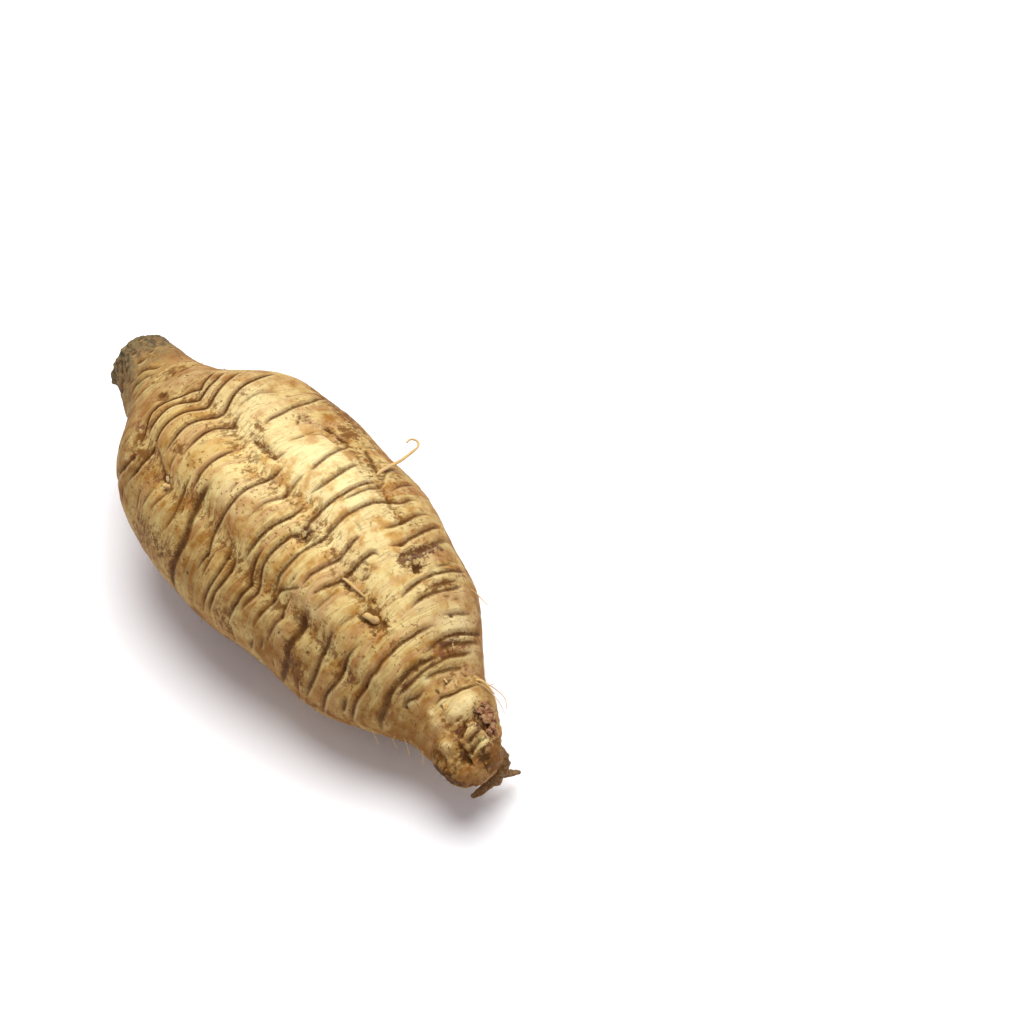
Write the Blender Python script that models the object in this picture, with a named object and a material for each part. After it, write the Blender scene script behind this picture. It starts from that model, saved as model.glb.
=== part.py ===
"""A kudzu root as dug and trimmed, lying on its side.

One solid: a spindle-shaped tuber with a short neck that ends in a rough cut, broken growth
rings round its skin, shallow furrows along it, a knobbly tip with a hooked tail, and the
stumps of its side rootlets, all fused. +X runs from the neck to the tip, +Z is up, and the
origin lies near the middle of the small flat spot that the root rests on.
"""

import math

import bmesh
import bpy
import numpy as np
from mathutils import Quaternion, Vector

MM = 0.001
NAME = "kudzu_root"
SEED = 11

# All sizes are in millimetres. Places along the root are measured on X, and turns round it
# are in degrees from straight up, towards +Y.
NECK_END = -119.0
TIP_START = 108.0
TIP_CAP = 6.5
HEIGHT_SHARE = 0.97
REST_PRESS = 0.4
COLUMNS = 44

# Where the root rests its skin is plain: the place, half the length and half the turn.
REST_CALM = (-2.0, 46.0, 26.0)

# Along the root: the place, half the width, how far the middle lies to +Y, and how high.
STATIONS = (
    (-119.0, 13.0, -2.4, 59.0),
    (-108.0, 15.4, -3.9, 57.8),
    (-97.0, 19.2, -5.1, 56.5),
    (-88.0, 25.6, -6.0, 55.0),
    (-78.0, 34.0, -6.6, 53.3),
    (-68.0, 41.0, -5.4, 51.6),
    (-56.0, 46.8, -3.2, 49.7),
    (-42.0, 49.4, -2.8, 48.0),
    (-20.0, 49.2, -1.4, 46.9),
    (10.0, 46.9, 2.0, 44.9),
    (36.0, 42.6, 2.0, 41.5),
    (56.0, 36.0, 2.1, 38.2),
    (74.0, 26.0, 0.4, 35.4),
    (83.0, 19.8, 0.2, 34.2),
    (93.0, 17.2, -0.4, 32.7),
    (102.0, 14.0, -2.2, 31.3),
    (108.0, 10.6, -3.6, 30.4),
)

# The cut face of the neck, from its middle to its rim: the place and the share of the width.
CUT_FACE = ((NECK_END + 0.9, 0.0), (NECK_END + 0.5, 0.5), (NECK_END - 0.4, 0.86))

# Where the rows of the rounded tip lie on its quarter circle, in degrees.
TIP_ROWS = (25, 48, 70, 90)

# Growth rings: the place, how deep the crease is, and the turns where it starts and ends.
RINGS = (
    (-113.0, 0.4, -180, 180),
    (-106.0, 0.5, -60, 40),
    (-99.5, 0.5, -80, 70),
    (-92.5, 0.5, -70, 30),
    (-83.0, 0.4, 60, 170),
    (-75.5, 0.7, -130, 30),
    (-69.5, 1.1, -100, 60),
    (-64.5, 1.1, -150, 50),
    (-58.5, 1.1, -95, 75),
    (-51.5, 1.1, -170, 60),
    (-45.0, 1.0, -100, 40),
    (-38.0, 0.7, 20, 150),
    (-31.5, 1.0, -75, 60),
    (-22.5, 1.7, -120, -30),
    (-12.5, 1.1, -90, 5),
    (-3.5, 1.2, -110, -40),
    (0.5, 1.2, -100, 40),
    (4.5, 1.0, -50, 0),
    (9.0, 1.3, -115, 50),
    (13.0, 1.1, -100, -20),
    (18.5, 1.2, -100, 45),
    (26.5, 1.2, -80, 60),
    (34.5, 1.8, -125, 20),
    (41.5, 1.0, -20, 120),
    (47.5, 1.2, -130, -10),
    (52.0, 1.0, 0, 100),
    (56.5, 1.1, -120, 70),
    (64.5, 1.2, -130, 60),
    (73.0, 1.4, -140, 110),
    (77.0, 1.0, -30, 100),
    (81.0, 1.0, -80, 40),
    (87.0, 1.2, -100, 60),
    (96.5, 1.2, -110, 80),
    (102.5, 1.0, -100, 120),
)
CREASE = 0.9
CLOSE_RINGS = 4.2
WIDE_RINGS = 7.5
RING_ENDS = 14.0
FAINT_SHARE = 0.35
LIP_SHARE = 0.4
COLLAR_SWELL = 0.45

# Furrows along the root: where they start and end, the turn at each end, how deep they are,
# half their width in degrees, and how far they draw the rings towards the tip.
FURROWS = (
    (-80.0, 78.0, -40.0, -57.0, 2.4, 9.0, 3.2),
    (-84.0, 60.0, -6.0, -14.0, 2.2, 8.0, 3.4),
    (-34.0, 44.0, 34.0, 31.0, 1.8, 7.0, -1.4),
    (-70.0, 30.0, 84.0, 92.0, 2.6, 12.0, 2.6),
    (-50.0, 70.0, 150.0, 138.0, 2.0, 12.0, 2.4),
    (-60.0, 30.0, -156.0, -148.0, 1.2, 9.0, -2.2),
)
FURROW_ENDS = 16.0
FURROW_SWAY = 3.0

# Lumps, and dimples where the height is less than 0: the place, the turn, the height, half
# the length and half the width.
LUMPS = (
    (-118.0, -95.0, 2.6, 2.0, 4.5),
    (-70.0, -48.0, 2.2, 12.0, 14.0),
    (-14.0, -26.0, 1.6, 18.0, 12.0),
    (-58.0, 14.0, 1.8, 16.0, 12.0),
    (4.0, 14.0, 1.4, 18.0, 10.0),
    (-8.0, -80.0, 1.6, 22.0, 14.0),
    (42.0, -38.0, 1.4, 16.0, 9.0),
    (62.0, 30.0, 1.2, 12.0, 10.0),
    (22.0, -112.0, 1.4, 18.0, 10.0),
    (-76.0, -16.0, -1.6, 2.2, 2.0),
    (-44.0, -49.0, -2.2, 4.0, 3.4),
    (-23.0, -1.0, -2.2, 7.0, 2.4),
    (14.0, -21.0, -2.4, 3.2, 2.4),
    (-16.0, 31.0, -1.8, 5.0, 2.6),
    (46.0, 21.0, -2.6, 3.2, 3.2),
    (53.0, -21.0, -3.2, 5.0, 3.8),
    (34.0, -55.0, -2.0, 3.5, 6.0),
    (20.0, 120.0, -2.2, 5.0, 4.0),
    (-36.0, 136.0, -2.0, 6.0, 4.0),
    (88.0, 170.0, 1.4, 8.0, 7.0),
)

# Knobs and hollows of the tip, given as lumps are.
TIP_KNOBS = (
    (92.0, 6.0, 1.2, 3.6, 7.0),
    (98.5, 9.0, -2.0, 1.8, 5.0),
    (103.5, -4.0, 1.6, 2.6, 4.5),
    (101.5, -46.0, 1.6, 4.5, 4.5),
    (93.0, -112.0, -1.8, 9.0, 8.0),
    (105.5, -84.0, 1.2, 3.6, 5.0),
    (108.5, 12.0, 1.5, 3.5, 4.0),
    (108.0, -34.0, -2.8, 3.0, 3.2),
    (103.0, 130.0, 2.0, 5.0, 6.0),
    (105.0, -150.0, 2.2, 5.0, 6.0),
)
SMALLEST_GIRTH = 6.0

# Slow unevenness of the skin, and of the rings' course: height, longest wave, waves.
SKIN_WAVES = (0.8, 90.0, 7)
RING_WAVES = (1.3, 170.0, 5)

# The rings waver most by the neck: the share of their wavering at places along the root.
WAVER_PLACES = (NECK_END, NECK_END + 30.0, -60.0, 0.0, 55.0, TIP_START)
WAVER_SHARES = (0.0, 1.0, 1.0, 0.65, 0.3, 0.0)

# Side rootlets and their stumps: the name, the place, the turn, the length, the thickness,
# and in degrees how far they lean to the tip, lean round the root, and bend over to the tip.
ROOTLETS = (
    ("pit_stump", 52.0, -20.0, 5.0, 2.9, -50.0, 10.0, 0.0),
    ("lying_rootlet", 35.0, -18.0, 9.0, 1.6, 78.0, 14.0, 24.0),
    ("curled_rootlet", 4.7, 41.0, 22.0, 1.6, -15.0, 60.0, -16.0),
    ("shoulder_stump", -43.0, -48.0, 3.4, 2.2, 20.0, 0.0, 0.0),
    ("back_rootlet", 20.0, 120.0, 9.0, 2.4, 30.0, 25.0, 50.0),
    ("low_back_stump", -36.0, 136.0, 4.4, 3.0, 35.0, 0.0, 0.0),
    ("tip_side_rootlet", 86.0, 46.0, 7.0, 1.4, 60.0, 20.0, 20.0),
    ("neck_stump", -103.0, 118.0, 3.6, 2.6, -30.0, 0.0, 0.0),
)
ROOTLET_STEPS = 5
ROOTLET_SINK = 3.0
ROOTLET_TAPER = (1.15, 0.6)

# The tail that hooks away under the tip: its points and its thickness at each.
TAIL_PATH = (
    (102.0, 3.0, 29.0),
    (106.5, 7.4, 25.5),
    (109.2, 7.6, 19.5),
    (110.2, 4.8, 14.5),
    (108.8, -0.2, 9.5),
    (107.0, -5.8, 5.8),
)
TAIL_THICK = (5.0, 5.0, 4.8, 4.4, 3.6, 2.2)

# Burrs clustered beside the tip: the place, the turn and the radius.
BURRS = ((100.5, 31.0, 3.0), (98.0, 38.0, 2.4), (103.5, 40.0, 2.3), (97.5, 26.0, 1.8))

SKIN_COLOUR = (0.60, 0.41, 0.18, 1.0)
SKIN_ROUGHNESS = 0.78


def empty_scene():
    """Removes whatever the scene holds."""
    for thing in list(bpy.data.objects):
        bpy.data.objects.remove(thing)


def smooth_between(places, values, at):
    """Reads, at the points at, a smooth curve that runs through values at places."""
    slopes = np.gradient(values, places)
    at = np.clip(at, places[0], places[-1])
    step = np.clip(np.searchsorted(places, at, side="right") - 1, 0, len(places) - 2)
    span = places[step + 1] - places[step]
    t = (at - places[step]) / span
    start = values[step] * (1 + 2 * t) + slopes[step] * span * t
    end = values[step + 1] * (3 - 2 * t) + slopes[step + 1] * span * (t - 1)
    return start * (1 - t) ** 2 + end * t**2


def apart(turn, other):
    """Difference of two turns, in degrees, from -180 to 180."""
    return (turn - other + 180.0) % 360.0 - 180.0


def bell(offset, reach):
    """1 at no offset, falling smoothly to almost nothing at twice the reach."""
    return np.exp(-((offset / reach) ** 2))


def waves(along, turn, longest, count, seed):
    """Slow bumps of a height near 1 all over the skin, from sines with seeded courses."""
    draw = np.random.default_rng(seed)
    total = np.zeros(np.broadcast(along, turn).shape)
    for _ in range(count):
        around = draw.integers(1, 6) * draw.choice((-1, 1))
        length = longest * draw.uniform(0.45, 1.0)
        shift = draw.uniform(0, 2 * math.pi)
        total += np.sin(2 * math.pi * along / length + around * np.radians(turn) + shift)
    return total / math.sqrt(count)


def furrow_share(along, turn, furrow):
    """How much of a furrow's depth each point has, from 0 to 1."""
    start, end, first_turn, last_turn, _, width, _ = furrow
    middle = np.interp(along, (start, end), (first_turn, last_turn))
    middle = middle + FURROW_SWAY * np.sin(along / 9.0 + first_turn)
    ends = np.clip((along - start) / FURROW_ENDS, 0, 1) * np.clip((end - along) / FURROW_ENDS, 0, 1)
    return bell(apart(turn, middle), width) * ends


def ring_drift(along, turn):
    """How far towards the tip the growth rings run at each turn."""
    height, longest, count = RING_WAVES
    drift = height * waves(along, turn, longest, count, SEED)
    for furrow in FURROWS:
        drift = drift + furrow[6] * furrow_share(along, turn, furrow)
    return drift * np.interp(along, WAVER_PLACES, WAVER_SHARES)


def ring_share(number, turn):
    """How much of a ring's depth each turn has: full on its arc, patchy elsewhere."""
    _, _, first, last = RINGS[number]
    beyond = np.abs(apart(turn, (first + last) / 2)) - (last - first) / 2
    on_arc = np.clip(1 - beyond / RING_ENDS, 0, 1)
    patches = waves(0.0, turn, 1.0, 4, SEED + 10 + number)
    faint = FAINT_SHARE * np.clip(0.5 + patches, 0, 1.6)
    return np.maximum(on_arc * (0.8 + 0.2 * patches), faint)


def ring_relief(row_place, turn):
    """The creases with their lips, and the soft swell of the collars between them."""
    relief = np.zeros(np.broadcast(row_place, turn).shape)
    for number, (place, depth, _, _) in enumerate(RINGS):
        offset = row_place - place
        lips = LIP_SHARE * bell(np.abs(offset) - 2 * CREASE, 0.9 * CREASE)
        relief = relief + depth * ring_share(number, turn) * (lips - bell(offset, 0.75 * CREASE))
    places = np.array([ring[0] for ring in RINGS])
    before = np.clip(np.searchsorted(places, row_place) - 1, 0, len(places) - 2)
    share = np.clip((row_place - places[before]) / (places[before + 1] - places[before]), 0, 1)
    return relief + COLLAR_SWELL * 4 * share * (1 - share)


def lump_relief(along, turn, radius):
    """The lumps, the dimples and the knobs of the tip."""
    relief = np.zeros(np.broadcast(along, turn).shape)
    for place, lump_turn, height, half_length, half_width in LUMPS + TIP_KNOBS:
        around = np.radians(apart(turn, lump_turn)) * np.maximum(radius, SMALLEST_GIRTH)
        relief = relief + height * bell(np.hypot((along - place) / half_length, around / half_width), 1.0)
    return relief


def liveliness(along, turn):
    """How much of its relief the skin has: all of it, but next to none where the root rests."""
    place, half_length, half_turn = REST_CALM
    return 1 - bell((along - place) / half_length, 1.0) * bell(apart(turn, 180.0), half_turn)


def skin(row_place, turn, share=1.0):
    """Points of the skin on the row that starts at row_place, at a share of the full width."""
    places, radii, sides, heights = np.array(STATIONS).T
    along = row_place + ring_drift(row_place, turn) * share
    read = np.minimum(along, TIP_START)
    radius = smooth_between(places, radii, read)
    height, longest, count = SKIN_WAVES
    relief = ring_relief(row_place, turn) + lump_relief(along, turn, radius)
    relief = relief + height * waves(along, turn, longest, count, SEED + 1)
    for furrow in FURROWS:
        relief = relief - furrow[4] * furrow_share(along, turn, furrow)
    reach = (radius + relief * liveliness(along, turn)) * share
    side = smooth_between(places, sides, read) + reach * np.sin(np.radians(turn))
    rise = smooth_between(places, heights, read) + HEIGHT_SHARE * reach * np.cos(np.radians(turn))
    return np.stack([along, side, rise - REST_PRESS], axis=-1)


def skin_rows():
    """The rows of points from the cut face to the tip: each one's place and share of the width."""
    rows = [*CUT_FACE, (NECK_END, 1.0)]
    last = NECK_END
    for place, _, _, _ in RINGS:
        gap = place - last
        if gap > CLOSE_RINGS:
            rows.append((last + CREASE, 1.0))
        if gap > WIDE_RINGS or gap <= CLOSE_RINGS:
            rows.append((last + gap / 2, 1.0))
        if gap > CLOSE_RINGS:
            rows.append((place - CREASE, 1.0))
        rows.append((place, 1.0))
        last = place
    rows += [(last + CREASE, 1.0), ((last + TIP_START) / 2, 1.0), (TIP_START, 1.0)]
    for lean in TIP_ROWS:
        quarter = math.radians(lean)
        rows.append((TIP_START + TIP_CAP * math.sin(quarter), math.cos(quarter)))
    return np.array(rows).T


def mesh_object(name, form, collection):
    """Makes an object in the collection of a finished bmesh, with its faces turned outwards."""
    bmesh.ops.recalc_face_normals(form, faces=form.faces)
    mesh = bpy.data.meshes.new(name)
    form.to_mesh(mesh)
    form.free()
    made = bpy.data.objects.new(name, mesh)
    collection.objects.link(made)
    return made


def make_tuber(collection):
    """The tuber: a sphere whose rows become places along it and its columns turns round it."""
    places, shares = skin_rows()
    steps = len(places) - 1
    form = bmesh.new()
    bmesh.ops.create_uvsphere(form, u_segments=COLUMNS, v_segments=steps, radius=1.0)
    ball = np.array([vertex.co for vertex in form.verts])
    row = np.rint(np.arccos(np.clip(ball[:, 2], -1, 1)) / math.pi * steps).astype(int)
    turn = np.degrees(np.arctan2(ball[:, 1], ball[:, 0]))
    points = skin(places[row], turn, shares[row])
    points[:, 2] = np.maximum(points[:, 2], 0.0)
    for vertex, point in zip(form.verts, points):
        vertex.co = Vector(point) * MM
    return mesh_object(NAME, form, collection)


def skin_frame(place, turn):
    """A point on the skin, and the ways out of it, to the tip and round the root there."""
    step = 0.5
    grid = skin(np.array([place, place + step, place]), np.array([turn, turn, turn + step]))
    here, further, beside = (Vector(point) for point in grid)
    forward = (further - here).normalized()
    out = forward.cross(beside - here).normalized()
    return here, out, forward, out.cross(forward)


def rootlet_path(place, turn, length, lean, swing, bend):
    """Points of a rootlet, from inside the skin outwards, bending over as it goes."""
    base, out, forward, around = skin_frame(place, turn)
    heading = out + math.tan(math.radians(lean)) * forward + math.tan(math.radians(swing)) * around
    heading.normalize()
    path = [base - out * ROOTLET_SINK, base]
    for _ in range(ROOTLET_STEPS):
        path.append(path[-1] + heading * (length / ROOTLET_STEPS))
        heading.rotate(Quaternion(around, math.radians(bend / ROOTLET_STEPS)))
    return path


def make_tube(name, path, thicks, collection):
    """A tapered tube through the points of a path, closed at both ends, as a mesh."""
    curve = bpy.data.curves.new(name, "CURVE")
    curve.dimensions = "3D"
    curve.bevel_depth = MM
    curve.bevel_resolution = 1
    curve.use_fill_caps = True
    line = curve.splines.new("POLY")
    line.points.add(len(path) - 1)
    for point, place, thick in zip(line.points, path, thicks):
        point.co = (*(Vector(place) * MM), 1.0)
        point.radius = thick / 2
    drawn = bpy.data.objects.new(name + "_line", curve)
    collection.objects.link(drawn)
    evaluated = drawn.evaluated_get(bpy.context.evaluated_depsgraph_get())
    form = bmesh.new()
    form.from_mesh(bpy.data.meshes.new_from_object(evaluated))
    bmesh.ops.remove_doubles(form, verts=form.verts, dist=0.01 * MM)
    made = mesh_object(name, form, collection)
    made.matrix_world = drawn.matrix_world
    bpy.data.objects.remove(drawn)


def make_burr(name, place, turn, radius, collection):
    """A small round burr that sits half sunk in the skin."""
    base, _, _, _ = skin_frame(place, turn)
    form = bmesh.new()
    bmesh.ops.create_icosphere(form, subdivisions=2, radius=radius * MM)
    bmesh.ops.translate(form, verts=form.verts, vec=base * MM)
    mesh_object(name, form, collection)


def make_outgrowths(collection):
    """The side rootlets, the tail and the burrs, each a closed mesh that roots in the tuber."""
    for name, place, turn, length, thick, lean, swing, bend in ROOTLETS:
        path = rootlet_path(place, turn, length, lean, swing, bend)
        make_tube(name, path, thick * np.linspace(*ROOTLET_TAPER, len(path)), collection)
    make_tube("tail", TAIL_PATH, TAIL_THICK, collection)
    for number, (place, turn, radius) in enumerate(BURRS):
        make_burr(f"burr_{number}", place, turn, radius, collection)


def fuse(tuber, outgrowths):
    """Joins the outgrowths to the tuber in one closed body, and clears them away."""
    union = tuber.modifiers.new("outgrowths", "BOOLEAN")
    union.operation = "UNION"
    union.operand_type = "COLLECTION"
    union.collection = outgrowths
    union.solver = "EXACT"
    bpy.context.view_layer.objects.active = tuber
    bpy.ops.object.modifier_apply(modifier=union.name)
    for outgrowth in list(outgrowths.objects):
        bpy.data.objects.remove(outgrowth)
    bpy.data.collections.remove(outgrowths)


def skin_material():
    """Dry, earthy tan skin, matt all over."""
    material = bpy.data.materials.new("kudzu_skin")
    material.use_nodes = True
    surface = material.node_tree.nodes["Principled BSDF"]
    surface.inputs["Base Color"].default_value = SKIN_COLOUR
    surface.inputs["Roughness"].default_value = SKIN_ROUGHNESS
    surface.inputs["Metallic"].default_value = 0.0
    return material


def finish(tuber):
    """Smooth shading but for the sharpest creases, and the skin's material."""
    tuber.data.shade_smooth()
    tuber.data.set_sharp_from_angle(angle=math.radians(50))
    tuber.data.materials.clear()
    tuber.data.materials.append(skin_material())


def main():
    empty_scene()
    root = bpy.data.collections.new(NAME)
    outgrowths = bpy.data.collections.new("outgrowths")
    bpy.context.scene.collection.children.link(root)
    bpy.context.scene.collection.children.link(outgrowths)
    tuber = make_tuber(root)
    make_outgrowths(outgrowths)
    fuse(tuber, outgrowths)
    finish(tuber)


main()
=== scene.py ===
"""The looks of a kudzu root, dug up, cleaned of soil and air dried.

The skin is a fine ball drawn out into the tuber, with its cracked growth rings, furrows, pits and stains
laid on by their place along the root and their turn round it; painted shade darkens its flanks, ends,
furrows and lower side, and a painted highlight lightens its top. The hooked tail, the burrs, the rootlets,
the hairs and the loose flakes of bark are pieces of their own, rooted in the skin.
"""

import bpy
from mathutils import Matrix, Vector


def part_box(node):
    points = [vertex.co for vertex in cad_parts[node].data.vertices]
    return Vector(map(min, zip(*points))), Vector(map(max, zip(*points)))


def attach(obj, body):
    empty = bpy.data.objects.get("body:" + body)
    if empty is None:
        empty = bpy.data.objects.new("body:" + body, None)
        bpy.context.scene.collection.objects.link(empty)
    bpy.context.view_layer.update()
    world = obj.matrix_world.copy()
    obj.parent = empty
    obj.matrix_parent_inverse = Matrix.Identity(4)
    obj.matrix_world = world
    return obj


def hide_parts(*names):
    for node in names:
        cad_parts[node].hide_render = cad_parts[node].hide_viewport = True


bl_info = {
    "name": "Kudzu root",
    "version": (1, 0, 0),
    "blender": (4, 5, 0),
    "location": "3D View > Sidebar > Kudzu root",
    "description": "Makes a kudzu root with cracked growth rings, tail, burrs, rootlets and hairs",
    "category": "Add Mesh",
}

import math

import bpy
import numpy as np
from mathutils import Quaternion, Vector, noise

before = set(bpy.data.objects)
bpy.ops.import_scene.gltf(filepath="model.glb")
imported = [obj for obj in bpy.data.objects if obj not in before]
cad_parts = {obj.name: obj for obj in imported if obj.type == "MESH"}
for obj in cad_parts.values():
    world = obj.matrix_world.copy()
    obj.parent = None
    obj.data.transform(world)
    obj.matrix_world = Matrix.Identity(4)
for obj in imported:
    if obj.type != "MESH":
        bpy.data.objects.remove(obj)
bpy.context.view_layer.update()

MM = 0.001
SEED = 11
BODY = "root"
NODE = "kudzu_root"

# All sizes below are in millimetres. Places along the root are measured on X, and turns round
# it are in degrees from straight up, towards +Y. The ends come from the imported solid.
CUT_PROUD = 0.4
TIP_CAP = 6.5
NECK_END = round(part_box(NODE)[0][0] / MM, 1) + CUT_PROUD
TIP_START = round(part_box(NODE)[1][0] / MM, 1) - TIP_CAP

# How high the root is for its width, and how far its weight presses it into the floor. Round
# the rest spot its relief is calm: the place, and half the length and the turn that it covers.
HEIGHT_SHARE = 0.97
REST_PRESS = 0.4
REST_CALM = (-2.0, 46.0, 26.0)

# Along the root: the place, half the width, how far the middle lies to +Y, and how high.
STATIONS = (
    (NECK_END, 13.0, -2.4, 59.0),
    (-108.0, 15.4, -3.9, 57.8),
    (-97.0, 19.2, -5.1, 56.5),
    (-88.0, 25.6, -6.0, 55.0),
    (-78.0, 34.0, -6.6, 53.3),
    (-68.0, 41.0, -5.4, 51.6),
    (-56.0, 46.8, -3.2, 49.7),
    (-42.0, 49.4, -2.8, 48.0),
    (-20.0, 49.2, -1.4, 46.9),
    (10.0, 46.9, 2.0, 44.9),
    (36.0, 42.6, 2.0, 41.5),
    (56.0, 36.0, 2.1, 38.2),
    (74.0, 26.0, 0.4, 35.4),
    (83.0, 19.8, 0.2, 34.2),
    (93.0, 17.2, -0.4, 32.7),
    (102.0, 14.0, -2.2, 31.3),
    (TIP_START, 10.6, -3.6, 30.4),
)

# The cut face of the neck, from its middle to its rim: the place and the share of the width.
CUT_FACE = ((0.9, 0.0), (0.5, 0.5), (-0.4, 0.86), (-0.2, 0.95), (0.0, 1.0))
CUT_ROWS = 14
CAP_ROWS = 16

# Furrows along the root: where they start and end, the turn at each end, how deep they are,
# half their width in degrees, and how far they draw the rings towards the tip.
FURROWS = (
    (-80.0, 78.0, -40.0, -57.0, 2.4, 9.0, 3.2),
    (-84.0, 60.0, -6.0, -14.0, 2.2, 8.0, 3.4),
    (-34.0, 44.0, 34.0, 31.0, 1.8, 7.0, -1.4),
    (-70.0, 30.0, 84.0, 92.0, 2.6, 12.0, 2.6),
    (-50.0, 70.0, 150.0, 138.0, 2.0, 12.0, 2.4),
    (-60.0, 30.0, -156.0, -148.0, 1.2, 9.0, -2.2),
)
FURROW_ENDS = 16.0
FURROW_SWAY = 3.0

# Lumps, and dimples where the height is less than 0: the place, the turn, the height, half
# the length and half the width. The last eleven shape the tip.
LUMPS = (
    (-118.0, -95.0, 2.6, 2.0, 4.5),
    (-70.0, -48.0, 2.2, 12.0, 14.0),
    (-14.0, -26.0, 1.6, 18.0, 12.0),
    (-58.0, 14.0, 1.8, 16.0, 12.0),
    (4.0, 14.0, 1.4, 18.0, 10.0),
    (-8.0, -80.0, 1.6, 22.0, 14.0),
    (42.0, -38.0, 1.4, 16.0, 9.0),
    (62.0, 30.0, 1.2, 12.0, 10.0),
    (22.0, -112.0, 1.4, 18.0, 10.0),
    (-76.0, -16.0, -1.6, 2.2, 2.0),
    (-44.0, -49.0, -2.2, 4.0, 3.4),
    (-23.0, -1.0, -2.2, 7.0, 2.4),
    (14.0, -21.0, -2.4, 3.2, 2.4),
    (-16.0, 31.0, -1.8, 5.0, 2.6),
    (46.0, 21.0, -2.6, 3.2, 3.2),
    (53.0, -21.0, -3.2, 5.0, 3.8),
    (34.0, -55.0, -2.0, 3.5, 6.0),
    (20.0, 120.0, -2.2, 5.0, 4.0),
    (-36.0, 136.0, -2.0, 6.0, 4.0),
    (88.0, 170.0, 1.4, 8.0, 7.0),
    (92.0, 6.0, 1.2, 3.6, 7.0),
    (98.5, 9.0, -2.0, 1.8, 5.0),
    (103.5, -4.0, 1.6, 2.6, 4.5),
    (101.5, -46.0, 1.6, 4.5, 4.5),
    (93.0, -112.0, -1.8, 9.0, 8.0),
    (105.5, -84.0, 1.2, 3.6, 5.0),
    (108.5, 12.0, 1.5, 3.5, 4.0),
    (108.0, -34.0, -2.8, 3.0, 3.2),
    (103.0, 130.0, 2.0, 5.0, 6.0),
    (105.0, -150.0, 2.2, 5.0, 6.0),
)
SMALLEST_GIRTH = 6.0

# Small knobs and clefts of the tip, given as lumps are, which only the skin has.
TIP_DETAIL = (
    (95.5, -24.0, -1.3, 4.0, 1.3),
    (91.0, -38.0, 1.2, 5.0, 3.2),
    (103.0, -30.0, -1.8, 3.4, 1.2),
    (106.0, -10.0, -1.4, 2.4, 1.6),
    (107.7, 17.0, 1.2, 3.4, 2.4),
    (110.6, 9.0, -1.6, 1.4, 3.0),
    (101.6, 12.0, 1.2, 2.4, 2.6),
    (99.6, -10.0, -1.2, 1.0, 4.0),
    (100.4, -43.0, 1.0, 3.0, 2.6),
    (101.0, -66.0, -1.6, 4.0, 1.4),
    (99.4, 20.0, -1.4, 3.0, 1.3),
    (106.0, 60.0, 1.2, 2.6, 2.6),
)

# How knotted the tip is: the height and the size of its knots, and where they start and are full.
GNARL = (1.1, 5.0, 88.0, 102.0)

# Slow unevenness of the skin, and of the rings' course: height, longest wave, waves.
SKIN_WAVES = (0.8, 90.0, 7)
RING_WAVES = (1.3, 170.0, 5)
WAVER_PLACES = (NECK_END, NECK_END + 30.0, -60.0, 0.0, 55.0, TIP_START)
WAVER_SHARES = (0.0, 1.0, 1.0, 0.65, 0.3, 0.0)

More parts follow.
